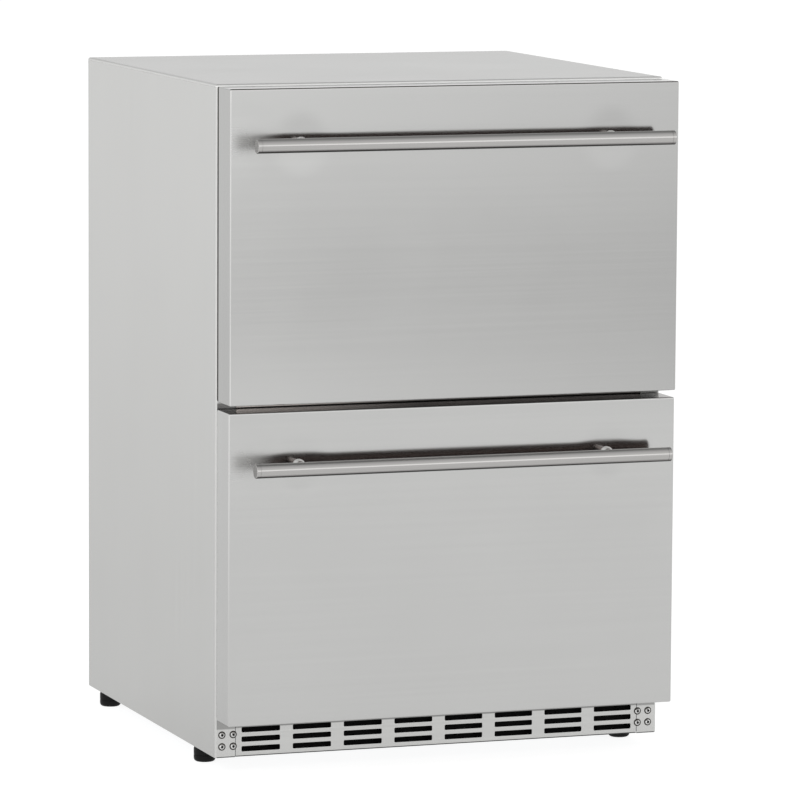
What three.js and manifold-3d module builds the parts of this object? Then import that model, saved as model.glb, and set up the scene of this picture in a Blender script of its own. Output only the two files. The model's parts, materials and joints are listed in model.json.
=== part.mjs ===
// Under counter fridge with two drawers.
// Millimetres. +Z is up and the drawer fronts face -Y. The floor is z = 0.
// Inside this file y = 0 is the plane of the cabinet's front flange; the
// exported group is moved so that its origin is the middle of the footprint.
import * as THREE from 'three';
import { mergeVertices, toCreasedNormals } from 'three/addons/utils/BufferGeometryUtils.js';
import { RoundedBoxGeometry } from 'three/addons/geometries/RoundedBoxGeometry.js';
import Module from 'manifold-3d';

const wasm = await Module();
wasm.setup();

// ---------- driving dimensions ----------
const GAP = 0.3;              // clearance between neighbouring pieces

const CAB_W = 597;            // cabinet width
const CAB_D = 561;            // cabinet depth, flange to rear face
const CAB_H = 867;            // overall height, floor to top
const FOOT_H = 20;            // cabinet underside above the floor
const SHEET = 1.0;            // stainless sheet
const EDGE_R = 3.0;           // outer bend radius of the cabinet
const FLANGE_W = 26.5;        // width of the front flange
const FLANGE_TOP = 26.0;      // height of the front flange under the top

const FRONT_W = 596;          // drawer front width
const FRONT_R = 2.0;          // bend radius of the drawer fronts
const UPPER_Z = [471.2, 864.7];
const LOWER_Z = [68.4, 461.9];
const UPPER_Y = [-55.5, -9.4];
const LOWER_Y = [-52.1, -5.4];

const TOE_TOP = 68.0;         // top of the toe grille
const SLOT_W = 51;
const SLOT_H = 6.8;
const SLOT_X = [34, 102, 170, 238];
const SLOT_Z = [54.3, 42.2, 30.0];
const SCREW_X = { '-1': [289.5, 274.6], 1: [287.2, 272.9] };   // by side
const SCREW_Z = [49.0, 34.0];
const SCREW_R = 3.9;

const BAR_R = 9.0;            // handle bar
const BAR_L = 553;
const POST_X = 206;
const POST_R = 5.5;
const UPPER_BAR = { y: -94.5, z: 796.7 };
const LOWER_BAR = { y: -92.5, z: 394.7 };

const FOOT_R = 14;
const FOOT_X = 283.5;
const FOOT_Y = [90, 508];
const STUD_R = 4.75;

const RAIL_TOP = 98;          // top of the rail under the lower drawer
const MULLION_Z = [440, 493];
const CAV_X = 248;            // half width of the cooled space
const CAV_Y = 505;            // its depth
const CAV_Z = [102, 815];     // its floor and ceiling
const LINER_T = 2;
const HUMP_Y = 338;           // front face of the step over the machine bay
const HUMP_Z = 255;           // its top
const BAY_Y = 365;            // front of the machine bay
const BAY_Z = 222;            // its ceiling

const SLIDE_L = 400;          // drawer slides, three members each
const SLIDE_Y0 = 12;
const UPPER_SLIDE_Z = 600;
const LOWER_SLIDE_Z = 330;
const SLIDE_H = 22;           // half height
const SLIDE_T = 1.3;

const BIN_X = 234.7;          // half width of the bins
const BIN_T = 1.2;
const UPPER_BIN = { y: [-2.7, 440], z: [500, 745] };
const LOWER_BIN = { y: [-2.7, 326], z: [112, 395] };

const FAN_X = 135;            // condenser fan
const FAN_Z = 112;
const FAN_R = 62;
const EFAN_Z = 705;           // evaporator fan
const EFAN_R = 45;

// ---------- helpers ----------
function solid(geometry) {
  let g = geometry.clone();
  g.deleteAttribute('normal');
  if (g.getAttribute('uv')) g.deleteAttribute('uv');
  g = mergeVertices(g, 1e-4);
  const pos = g.getAttribute('position').array;
  const src = g.getIndex().array;
  const tri = [];
  for (let i = 0; i < src.length; i += 3) {
    const a = src[i], b = src[i + 1], c = src[i + 2];
    if (a !== b && b !== c && c !== a) tri.push(a, b, c);
  }
  const make = (t) => new wasm.Manifold(new wasm.Mesh({
    numProp: 3, vertProperties: new Float32Array(pos), triVerts: new Uint32Array(t),
  }));
  const m = make(tri);
  if (m.volume() >= 0) return m;
  const back = [];
  for (let i = 0; i < tri.length; i += 3) back.push(tri[i], tri[i + 2], tri[i + 1]);
  return make(back);
}

function box(x0, x1, y0, y1, z0, z1) {
  const g = new THREE.BoxGeometry(x1 - x0, y1 - y0, z1 - z0);
  g.translate((x0 + x1) / 2, (y0 + y1) / 2, (z0 + z1) / 2);
  return solid(g);
}

function roundBox(x0, x1, y0, y1, z0, z1, r, seg = 2) {
  const g = new RoundedBoxGeometry(x1 - x0, y1 - y0, z1 - z0, seg, r);
  g.translate((x0 + x1) / 2, (y0 + y1) / 2, (z0 + z1) / 2);
  return solid(g);
}

// cylinder from a to b along one axis; c holds the two other coordinates
function rod(axis, r, a, b, c, seg = 20, r2 = r) {
  const g = new THREE.CylinderGeometry(r2, r, b - a, seg);   // along +Y
  g.translate(0, (a + b) / 2, 0);
  if (axis === 'x') { g.rotateZ(-Math.PI / 2); g.translate(0, c[0], c[1]); }
  if (axis === 'y') g.translate(c[0], 0, c[1]);
  if (axis === 'z') { g.rotateX(Math.PI / 2); g.translate(c[0], c[1], 0); }
  return solid(g);
}

// turned piece: profile points are [radius, distance along the axis]
function turned(axis, profile, at, seg = 20) {
  const g = new THREE.LatheGeometry(profile.map((p) => new THREE.Vector2(p[0], p[1])), seg);
  if (axis === 'z') g.rotateX(Math.PI / 2);
  if (axis === 'x') g.rotateZ(-Math.PI / 2);
  if (axis === '-y') g.rotateX(Math.PI);
  g.translate(...at);
  return solid(g);
}

// flat outline in the XZ plane pushed along +Y, with optional holes
function plateXZ(outline, holes, y0, y1) {
  const s = new THREE.Shape(outline.map((p) => new THREE.Vector2(p[0], p[1])));
  for (const h of holes) s.holes.push(new THREE.Path(h.map((p) => new THREE.Vector2(p[0], p[1]))));
  const g = new THREE.ExtrudeGeometry(s, { depth: y1 - y0, bevelEnabled: false });
  g.rotateX(Math.PI / 2);        // shape y becomes z, depth becomes -y
  g.translate(0, y1, 0);
  return solid(g);
}

// outline in the YZ plane pushed along X
function barYZ(outline, x0, x1) {
  const s = new THREE.Shape(outline.map((p) => new THREE.Vector2(p[0], p[1])));
  const g = new THREE.ExtrudeGeometry(s, { depth: x1 - x0, bevelEnabled: false });
  g.applyMatrix4(new THREE.Matrix4().set(0, 0, 1, 0, 1, 0, 0, 0, 0, 1, 0, 0, 0, 0, 0, 1));
  g.translate(x0, 0, 0);
  return solid(g);
}

// outline in the XY plane pushed along Z
function barXY(outline, z0, z1) {
  const s = new THREE.Shape(outline.map((p) => new THREE.Vector2(p[0], p[1])));
  const g = new THREE.ExtrudeGeometry(s, { depth: z1 - z0, bevelEnabled: false });
  g.translate(0, 0, z0);
  return solid(g);
}

function slot(cx, cz, w, h, r) {
  const x = w / 2, z = h / 2;
  return [
    [cx - x, cz - z + r], [cx - x + r, cz - z], [cx + x - r, cz - z], [cx + x, cz - z + r],
    [cx + x, cz + z - r], [cx + x - r, cz + z], [cx - x + r, cz + z], [cx - x, cz + z - r],
  ];
}

const add = (...m) => wasm.Manifold.union(m);
const mirrorX = (m) => m.mirror([1, 0, 0]);

const MATERIALS = {
  stainless: [0xc4c4c2, 0.32, 1.0],
  front_steel: [0xc0c0be, 0.3, 1.0],
  bar_steel: [0xc8c6c3, 0.22, 1.0],
  screw_steel: [0xcfcfcb, 0.25, 1.0],
  galvanised: [0xa9adb0, 0.45, 1.0],
  slide_steel: [0xb4b7ba, 0.35, 1.0],
  coil_metal: [0xb9bcbf, 0.4, 1.0],
  liner_plastic: [0xe6e7e6, 0.45, 0.0],
  cover_plastic: [0xdadcdc, 0.5, 0.0],
  gasket_rubber: [0x3c3936, 0.75, 0.0],
  foam: [0xe3d7a4, 0.95, 0.0],
  black_plastic: [0x0b0b0b, 0.55, 0.0],
  fan_plastic: [0x17181a, 0.5, 0.0],
  compressor_black: [0x0e0e0f, 0.4, 0.3],
  mullion_black: [0x2b2826, 0.45, 0.3],
};

const group = new THREE.Group();
group.name = 'under_counter_fridge';

function piece(name, m, look) {
  const mesh = m.getMesh();
  const g = new THREE.BufferGeometry();
  g.setAttribute('position', new THREE.BufferAttribute(new Float32Array(mesh.vertProperties), 3));
  g.setIndex(new THREE.BufferAttribute(new Uint32Array(mesh.triVerts), 1));
  const shaded = toCreasedNormals(g, 0.6);
  const [color, roughness, metalness] = MATERIALS[look];
  const material = new THREE.MeshStandardMaterial({ color, roughness, metalness });
  material.name = look;
  const obj = new THREE.Mesh(shaded, material);
  obj.name = name;
  group.add(obj);
}

// ---------- cabinet skin ----------
const HX = CAB_W / 2;
const skinOuter = roundBox(-HX, HX, 0, CAB_D, -20, CAB_H, EDGE_R);
const skinInner = roundBox(-HX + SHEET, HX - SHEET, SHEET, CAB_D - SHEET, -25, CAB_H - SHEET, EDGE_R - SHEET);
const openX = HX - FLANGE_W;                 // 272
const openTop = CAB_H - FLANGE_TOP;          // 841
let skin = skinOuter.subtract(skinInner)
  .intersect(box(-400, 400, -50, 700, FOOT_H, 1000))
  .subtract(box(-openX, openX, -5, 5, 0, openTop));
const seamZ = CAB_H - EDGE_R - 0.4;          // joint between top and sides
const seamY = CAB_D - EDGE_R - 0.4;          // joint between sides and rear

const screwHoles = (s) => add(...SCREW_X[s].flatMap((x) => SCREW_Z.map((z) => rod('y', 1.95, -3, 6, [s * x, z], 10))));
const side = skin.intersect(box(-400, -openX, -5, seamY, 0, seamZ));
piece('side_panel_left', side.subtract(screwHoles(-1)), 'stainless');
piece('side_panel_right', mirrorX(side).subtract(screwHoles(1)), 'stainless');

const top = skin.intersect(add(
  box(-400, 400, -5, seamY, seamZ + GAP, 900),
  box(-openX + GAP, openX - GAP, -5, 1.6, openTop - 2, 900),
));
piece('top_panel', top, 'stainless');

// ---------- rear panel with vents and the power inlet opening ----------
const INLET = { x: [196, 226], z: [60, 84] };
let rear = skin.intersect(box(-400, 400, seamY + GAP, 700, 0, 900));
const ventHoles = [];
for (let i = 0; i < 13; i++) {
  ventHoles.push([-252 + i * 32, 126]);
}
for (const [x, z] of ventHoles) {
  rear = rear.subtract(plateXZ(slot(x, z, 9, 108, 3), [], CAB_D - 5, CAB_D + 5));
}
rear = rear.subtract(box(INLET.x[0] - GAP, INLET.x[1] + GAP, 550, 570, INLET.z[0] - GAP, INLET.z[1] + GAP));
piece('rear_panel', rear, 'galvanised');

let inlet = roundBox(INLET.x[0], INLET.x[1], 538, CAB_D + 8, INLET.z[0], INLET.z[1], 1.5, 1)
  .intersect(box(0, 300, 530, CAB_D, 0, 200))
  .subtract(box(INLET.x[0] + 3, INLET.x[1] - 3, 546, 600, INLET.z[0] + 3, INLET.z[1] - 3));
for (const [dx, dz] of [[-7, -1.5], [0, 3], [7, -1.5]]) {
  const cx = (INLET.x[0] + INLET.x[1]) / 2 + dx, cz = (INLET.z[0] + INLET.z[1]) / 2 + dz;
  inlet = inlet.add(box(cx - 1, cx + 1, 545, 557, cz - 2.2, cz + 2.2));
}
piece('power_inlet', inlet, 'black_plastic');

// ---------- base pan, machine-bay skin, foam, liner ----------
let pan = box(-294.8, 294.8, 12.5, 559.5, FOOT_H, FOOT_H + 14)
  .subtract(box(-293.3, 293.3, -10, 558, FOOT_H + 1.5, 100));
for (const sx of [-1, 1]) {
  for (const y of FOOT_Y) {
    pan = pan.add(rod('z', 9, FOOT_H + 1, 44, [sx * FOOT_X, y], 16));
  }
}
for (const sx of [-1, 1]) {
  for (const y of FOOT_Y) pan = pan.subtract(rod('z', STUD_R + 0.35, 0, 60, [sx * FOOT_X, y], 16));
}
piece('base_pan', pan, 'galvanised');

const baySkin = barYZ([
  [0, RAIL_TOP], [0, 69.5], [BAY_Y + 1, 69.5], [BAY_Y + 1, BAY_Z], [559.3, BAY_Z],
  [559.3, BAY_Z + 1], [BAY_Y, BAY_Z + 1], [BAY_Y, 70.5], [1, 70.5], [1, RAIL_TOP],
], -297.2, 297.2)
  .subtract(box(-400, -openX + GAP, -5, 1.3, 0, 200))
  .subtract(box(openX - GAP, 400, -5, 1.3, 0, 200))
  .subtract(box(-400, -294.5, -5, 4.5, 0, 200))
  .subtract(box(294.5, 400, -5, 4.5, 0, 200))
  .subtract(box(-400, -294.5, 556.5, 600, 0, 300))
  .subtract(box(294.5, 400, 556.5, 600, 0, 300));
piece('machine_bay_skin', baySkin, 'galvanised');

const lipZ = [RAIL_TOP + GAP, openTop - GAP];
const lipX = openX - GAP;
const linerOuter = (e) => add(
  box(-CAV_X - LINER_T - e, CAV_X + LINER_T + e, -1, CAV_Y + LINER_T + e, HUMP_Z - LINER_T - e, CAV_Z[1] + LINER_T + e),
  box(-CAV_X - LINER_T - e, CAV_X + LINER_T + e, -1, HUMP_Y + LINER_T + e, CAV_Z[0] - LINER_T - e, HUMP_Z + 20),
  box(-lipX - e, lipX + e, -1, 2 + e, lipZ[0] - e, lipZ[1] + e),
);
const cavity = add(
  box(-CAV_X, CAV_X, -10, CAV_Y, HUMP_Z, CAV_Z[1]),
  box(-CAV_X, CAV_X, -10, HUMP_Y, CAV_Z[0], HUMP_Z + 10),
);
const wingSeat = add(...[-1, 1].map((s) => box(Math.min(s * 230, s * 280), Math.max(s * 230, s * 280), -3, 2 + GAP, MULLION_Z[0] - GAP, MULLION_Z[1] + GAP)));
piece('inner_liner', linerOuter(0).subtract(cavity).subtract(wingSeat).intersect(box(-400, 400, 0, 600, 0, 900)), 'liner_plastic');

const foam = roundBox(-HX + SHEET + GAP, HX - SHEET - GAP, SHEET + GAP, CAB_D - SHEET - GAP, -25, CAB_H - SHEET - GAP, EDGE_R - SHEET - 0.2)
  .intersect(box(-400, 400, 0, 559.5, 70.8, 900))
  .subtract(box(-400, 400, BAY_Y - GAP, 700, 0, BAY_Z + 1 + GAP))
  .subtract(linerOuter(GAP));
piece('insulation_foam', foam, 'foam');

// folded channel, open to the rear, with a wing at each end that fills the frame
const mullion = roundBox(-CAV_X + GAP, CAV_X - GAP, 0, 60, MULLION_Z[0], MULLION_Z[1], 2, 1)
  .intersect(box(-400, 400, -1, 45, 0, 900))
  .add(box(-openX + 0.6, openX - 0.6, 0, 1.5, MULLION_Z[0], MULLION_Z[1]))
  .subtract(box(-CAV_X + GAP + 1.5, CAV_X - GAP - 1.5, 1.5, 70, MULLION_Z[0] + 1.5, MULLION_Z[1] - 1.5));
piece('center_mullion', mullion, 'mullion_black');

// ---------- toe grille, corner brackets, screws ----------
const grilleX = openX - 0.8;
const slotHoles = [];
for (const cx of SLOT_X) for (const s of [-1, 1]) for (const cz of SLOT_Z) slotHoles.push(slot(s * cx, cz, SLOT_W, SLOT_H, 1.3));
let grille = plateXZ([[-grilleX, FOOT_H + 0.4], [grilleX, FOOT_H + 0.4], [grilleX, TOE_TOP], [-grilleX, TOE_TOP]], slotHoles, 0, 1.2)
  .add(box(-grilleX, grilleX, 1, 12, TOE_TOP - 1.2, TOE_TOP))
  .add(box(-grilleX, grilleX, 1, 12, FOOT_H + 0.4, FOOT_H + 1.6));
for (const s of [-1, 1]) {
  for (const z of SCREW_Z) grille = grille.subtract(rod('y', SCREW_R + 0.3, -5, 5, [s * SCREW_X[s][1], z], 16));
}
piece('toe_grille', grille, 'stainless');

const bracket = barXY([
  [-265.5, 1.5], [-265.5, 3], [-294.2, 3], [-295.4, 4.6], [-295.4, 30], [-296.9, 30], [-296.9, 4.3], [-294.6, 1.5],
], 23, 65.8);
piece('grille_bracket_left', bracket.subtract(screwHoles(-1)), 'galvanised');
piece('grille_bracket_right', mirrorX(bracket).subtract(screwHoles(1)), 'galvanised');

let n = 0;
for (const s of [-1, 1]) {
  for (const x of SCREW_X[s]) {
    for (const z of SCREW_Z) {
      n += 1;
      const screw = turned('-y', [[0, -7], [1.2, -7], [1.6, -6], [1.6, 0.1], [SCREW_R, 0.1], [SCREW_R, 0.5], [2.9, 1.5], [0, 2.0]], [s * x, 0, z], 12)
        .subtract(rod('y', 1.45, -3, -0.7, [s * x, z], 6));
      piece(`bracket_screw_${n}`, screw, 'screw_steel');
    }
  }
}

// ---------- levelling feet ----------
const footNames = ['front_left', 'front_right', 'rear_left', 'rear_right'];
[[-FOOT_X, FOOT_Y[0]], [FOOT_X, FOOT_Y[0]], [-FOOT_X, FOOT_Y[1]], [FOOT_X, FOOT_Y[1]]].forEach(([x, y], i) => {
  const foot = turned('z', [[0, 0], [10.4, 0], [13.2, 2.2], [FOOT_R, 5.5], [FOOT_R, 16.5], [12.6, 19.6], [STUD_R, 19.6], [STUD_R, 50], [0, 50]], [x, y, 0], 16);
  piece(`foot_${footNames[i]}`, foot, 'black_plastic');
});

// ---------- finned coils ----------
class Bend extends THREE.Curve {
  constructor(x, y, z, r, leg, sign) { super(); Object.assign(this, { x, y, z, r, leg, sign }); }
  getPoint(t, target = new THREE.Vector3()) {
    const total = 2 * this.leg + Math.PI * this.r;
    const d = t * total;
    let dx, dz;
    if (d < this.leg) { dx = d; dz = -this.r; }
    else if (d > total - this.leg) { dx = total - d; dz = this.r; }
    else { const a = (d - this.leg) / this.r; dx = this.leg + Math.sin(a) * this.r; dz = -Math.cos(a) * this.r; }
    return target.set(this.x + this.sign * dx, this.y, this.z + dz);
  }
}

function ring(r, seg) {
  const pts = [];
  for (let i = 0; i < seg; i++) pts.push(new THREE.Vector2(r * Math.cos((2 * Math.PI * i) / seg), r * Math.sin((2 * Math.PI * i) / seg)));
  return new THREE.Shape(pts);
}

function finCoil(x0, x1, y0, y1, z0, z1, fins, passes, tube) {
  // comb: thin fins joined along the middle by the tube bank
  const pts = [];
  const pitch = (x1 - x0 - 2) / fins;
  const ym = (y0 + y1) / 2;
  pts.push([x0, y0]);
  const front = [], back = [];
  for (let i = 0; i <= fins; i++) {
    const a = x0 + i * pitch, b = a + 1.6;
    front.push([a, ym - 5], [a, y0], [b, y0], [b, ym - 5]);
    back.push([b, ym + 5], [b, y1], [a, y1], [a, ym + 5]);
  }
  const backRev = [];
  for (let i = fins; i >= 0; i--) backRev.push(...back.slice(i * 4, i * 4 + 4));
  let m = barXY([...front, ...backRev].filter((p, i, all) => i === 0 || p[0] !== all[i - 1][0] || p[1] !== all[i - 1][1]), z0, z1);
  const step = (z1 - z0) / passes;
  for (let k = 0; k < passes - 1; k++) {
    const right = k % 2 === 0;
    const curve = new Bend(right ? x1 - 2 : x0 + 2, ym, z0 + step * (k + 1), step / 2, 6, right ? 1 : -1);
    m = m.add(solid(new THREE.ExtrudeGeometry(ring(tube, 6), { steps: 8, bevelEnabled: false, extrudePath: curve })));
  }
  return m;
}
piece('condenser_coil', finCoil(30, 240, 374, 400, 34, 194, 14, 6, 4), 'coil_metal');
piece('evaporator_coil', finCoil(-190, 190, 466, 496, 320, 600, 14, 6, 4), 'coil_metal');

// ---------- fans ----------
function rotor(cx, cz, y0, depth, hubR, tipR, blades) {
  let m = rod('y', hubR, y0, y0 + depth, [cx, cz], 16);
  for (let i = 0; i < blades; i++) {
    const s = new THREE.Shape();
    s.moveTo(hubR - 3, -7);
    s.quadraticCurveTo(tipR * 0.7, -tipR * 0.34, tipR * 0.94, -tipR * 0.26);
    s.quadraticCurveTo(tipR, 0, tipR * 0.9, tipR * 0.34);
    s.quadraticCurveTo(tipR * 0.6, tipR * 0.2, hubR - 3, 7);
    s.closePath();
    const g = new THREE.ExtrudeGeometry(s, { depth: 1.6, bevelEnabled: false, curveSegments: 4 });
    g.translate(0, 0, -0.8);
    g.rotateX(0.42);                       // blade pitch about its own radius
    g.rotateX(Math.PI / 2);
    g.applyMatrix4(new THREE.Matrix4().makeRotationY((i * 2 * Math.PI) / blades));
    g.translate(cx, y0 + depth / 2, cz);
    m = m.add(solid(g));
  }
  return m;
}

let frame = roundBox(FAN_X - 76, FAN_X + 76, 406, 434, 36, 188, 6, 2)
  .subtract(rod('y', FAN_R + 6, 400, 440, [FAN_X, FAN_Z], 28));
frame = frame.add(rod('y', 22, 427, 434, [FAN_X, FAN_Z], 16));
frame = frame.add(box(FAN_X - 74, FAN_X + 74, 430, 434, FAN_Z - 4, FAN_Z + 4));
frame = frame.add(box(FAN_X - 4, FAN_X + 4, 430, 434, FAN_Z - 74, FAN_Z + 74));
frame = frame.add(box(FAN_X - 70, FAN_X - 50, 410, 430, 21.8, 40));
frame = frame.add(box(FAN_X + 50, FAN_X + 70, 410, 430, 21.8, 40));
piece('condenser_fan_frame', frame, 'fan_plastic');
piece('condenser_fan_rotor', rotor(FAN_X, FAN_Z, 411, 15, 20, FAN_R, 5), 'fan_plastic');

// ---------- compressor ----------
const COMP = { x: -165, y: 462 };
let comp = turned('z', [[0, 34], [50, 34], [60, 40], [63, 52], [63, 92], [66, 94], [66, 100], [63, 102], [62, 128], [54, 150], [36, 166], [0, 172]], [COMP.x, COMP.y, 0], 20);
comp = comp.add(box(COMP.x - 82, COMP.x + 82, COMP.y - 46, COMP.y + 46, 32, 36));
for (const sx of [-1, 1]) for (const sy of [-1, 1]) comp = comp.add(rod('z', 10, 21.8, 34, [COMP.x + sx * 68, COMP.y + sy * 34], 14));
comp = comp.add(box(COMP.x + 56, COMP.x + 86, COMP.y - 24, COMP.y + 24, 74, 126));
comp = comp.add(rod('x', 5, COMP.x - 84, COMP.x - 50, [COMP.y + 12, 116], 10));
comp = comp.add(rod('x', 4, COMP.x - 80, COMP.x - 50, [COMP.y - 18, 84], 10));
piece('compressor', comp, 'compressor_black');

// ---------- evaporator cover and its fan ----------
let cover = box(-246, 246, 452, CAV_Y - GAP, 258, 812)
  .subtract(box(-244, 244, 454, 600, 260, 810));
const sector = (a0, a1, r0, r1) => {
  const p = [];
  for (let i = 0; i <= 2; i++) { const a = a0 + ((a1 - a0) * i) / 2; p.push([r1 * Math.cos(a), EFAN_Z + r1 * Math.sin(a)]); }
  for (let i = 2; i >= 0; i--) { const a = a0 + ((a1 - a0) * i) / 2; p.push([r0 * Math.cos(a), EFAN_Z + r0 * Math.sin(a)]); }
  return p;
};
for (let i = 0; i < 8; i++) {
  const a = (i * Math.PI) / 4;
  cover = cover.subtract(plateXZ(sector(a + 0.12, a + Math.PI / 4 - 0.12, 22, 33), [], 440, 456));
  cover = cover.subtract(plateXZ(sector(a + 0.07, a + Math.PI / 4 - 0.07, 36, 47), [], 440, 456));
}
for (let i = 0; i < 9; i++) cover = cover.subtract(plateXZ(slot(-192 + i * 48, 284, 34, 7, 2), [], 440, 456));
cover = cover.add(rod('y', 18, 453.5, 464, [0, EFAN_Z], 16));
piece('evaporator_cover', cover, 'cover_plastic');
piece('evaporator_fan_rotor', rotor(0, EFAN_Z, 465, 14, 16, EFAN_R, 5), 'fan_plastic');

// ---------- control housing and knob ----------
const POD = { x: 72, y: [34, 132], z: [776, CAV_Z[1] - GAP] };
let pod = roundBox(-POD.x, POD.x, POD.y[0], POD.y[1], POD.z[0], POD.z[1] + 20, 5, 2)
  .intersect(box(-200, 200, 0, 300, 0, POD.z[1]))
  .subtract(roundBox(-POD.x + 2, POD.x - 2, POD.y[0] + 2, POD.y[1] - 2, POD.z[0] + 2, POD.z[1] + 30, 3, 1))
  .subtract(rod('y', 4.3, POD.y[0] - 5, POD.y[0] + 5, [0, 795.5], 14));
piece('control_housing', pod, 'cover_plastic');

const KNOB_Z = 795.5;
let knob = turned('-y', [[0, -7], [4, -7], [4, 0.3], [14, 0.3], [14, 4], [12.6, 9], [11, 10.4], [0, 10.4]], [0, POD.y[0], KNOB_Z], 24);
knob = knob.add(box(-2, 2, POD.y[0] - 13.5, POD.y[0] - 9, KNOB_Z - 10.5, KNOB_Z + 10.5));
piece('thermostat_knob', knob, 'black_plastic');

// ---------- drawer slides ----------
// C sections nested in one another; the open side of the two fixed ones faces the bin
function channel(xBack, xLip, h, t, zc) {
  const d = Math.sign(xLip - xBack);
  const outline = [
    [xBack, zc - h], [xLip, zc - h], [xLip, zc - h + t], [xBack + d * t, zc - h + t],
    [xBack + d * t, zc + h - t], [xLip, zc + h - t], [xLip, zc + h], [xBack, zc + h],
  ];
  return plateXZ(d > 0 ? outline : outline.slice().reverse(), [], SLIDE_Y0, SLIDE_Y0 + SLIDE_L);
}
const h1 = SLIDE_H, h2 = h1 - SLIDE_T - GAP, h3 = h2 - SLIDE_T - GAP;
for (const [level, zc] of [['upper', UPPER_SLIDE_Z], ['lower', LOWER_SLIDE_Z]]) {
  const cabinetMember = channel(CAV_X - GAP, 236.5, h1, SLIDE_T, zc);
  const midMember = channel(CAV_X - GAP - SLIDE_T - GAP, 236.3, h2, SLIDE_T, zc);
  const drawerMember = channel(BIN_X + GAP, 243.2, h3, SLIDE_T, zc);
  piece(`${level}_slide_cabinet_right`, cabinetMember, 'slide_steel');
  piece(`${level}_slide_cabinet_left`, mirrorX(cabinetMember), 'slide_steel');
  piece(`${level}_slide_mid_right`, midMember, 'slide_steel');
  piece(`${level}_slide_mid_left`, mirrorX(midMember), 'slide_steel');
  piece(`${level}_slide_drawer_right`, drawerMember, 'slide_steel');
  piece(`${level}_slide_drawer_left`, mirrorX(drawerMember), 'slide_steel');
}

// ---------- drawers ----------
function drawer(level, y, z, bar, bin, inset) {
  const fx = FRONT_W / 2;
  const pan = roundBox(-fx, fx, y[0], 60, z[0], z[1], FRONT_R)
    .subtract(roundBox(-fx + SHEET, fx - SHEET, y[0] + SHEET, 70, z[0] + SHEET, z[1] - SHEET, FRONT_R - SHEET))
    .intersect(box(-400, 400, -200, y[1], 0, 1000));
  piece(`${level}_front_panel`, pan, 'front_steel');

  const c = SHEET + GAP;
  const coreBack = y[1] - 0.6;
  const core = roundBox(-fx + c, fx - c, y[0] + c, 60, z[0] + c, z[1] - c, 1.2, 1)
    .intersect(box(-400, 400, -200, coreBack, 0, 1000))
    .add(box(-241, 241, coreBack - 2, -3, z[0] + 40, z[1] - 40));
  piece(`${level}_front_liner`, core, 'liner_plastic');

  // the seal stands on the pan's rear edge and closes on the flange
  const gx = fx - inset, gw = fx - inset - 277;
  const g0 = z[0] + inset, g1 = z[1] - inset;
  const g = plateXZ(
    [[-gx, g0], [gx, g0], [gx, g1], [-gx, g1]],
    [[[-gx + gw, g0 + gw], [gx - gw, g0 + gw], [gx - gw, g1 - gw], [-gx + gw, g1 - gw]]],
    y[1] + GAP, -GAP);
  piece(`${level}_gasket`, g, 'gasket_rubber');

  const rim = 6;
  const b = add(
    box(-BIN_X, BIN_X, bin.y[0], bin.y[1], bin.z[0], bin.z[1]),
    box(-BIN_X - rim, BIN_X + rim, bin.y[0], bin.y[1] + rim, bin.z[1] - BIN_T, bin.z[1]),
  ).subtract(box(-BIN_X + BIN_T, BIN_X - BIN_T, bin.y[0] + BIN_T, bin.y[1] - BIN_T, bin.z[0] + BIN_T, bin.z[1] + 5));
  piece(`${level}_bin`, b, 'stainless');

  const half = BAR_L / 2;
  const barGeo = turned('x', [
    [0, -half], [BAR_R - 0.8, -half], [BAR_R, -half + 0.8], [BAR_R, -half + 4.6], [BAR_R - 0.35, -half + 5], [BAR_R, -half + 5.4],
    [BAR_R, half - 5.4], [BAR_R - 0.35, half - 5], [BAR_R, half - 4.6], [BAR_R, half - 0.8], [BAR_R - 0.8, half], [0, half],
  ], [0, bar.y, bar.z], 18);
  piece(`${level}_handle_bar`, barGeo, 'bar_steel');

  const reach = y[0] - bar.y;              // door face to bar axis
  for (const [s, word] of [[-1, 'left'], [1, 'right']]) {
    const post = turned('-y', [[0, 0.25], [7.8, 0.25], [7.8, 1.2], [6.3, 3], [POST_R, 6], [POST_R, reach - 2], [0, reach - 2]], [s * POST_X, y[0], bar.z], 14)
      .subtract(rod('x', BAR_R + 0.25, -400, 400, [bar.y, bar.z], 24));
    piece(`${level}_handle_post_${word}`, post, 'bar_steel');
  }
}
drawer('upper', UPPER_Y, UPPER_Z, UPPER_BAR, UPPER_BIN, 0.1);
drawer('lower', LOWER_Y, LOWER_Z, LOWER_BAR, LOWER_BIN, 0.8);

// origin: middle of the footprint, on the floor
const frontmost = UPPER_BAR.y - BAR_R;
group.position.set(0, -(CAB_D + frontmost) / 2, 0);
group.updateMatrixWorld(true);

export default group;
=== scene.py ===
import json
import math
import bmesh
import bpy
from mathutils import Matrix, Vector


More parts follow.
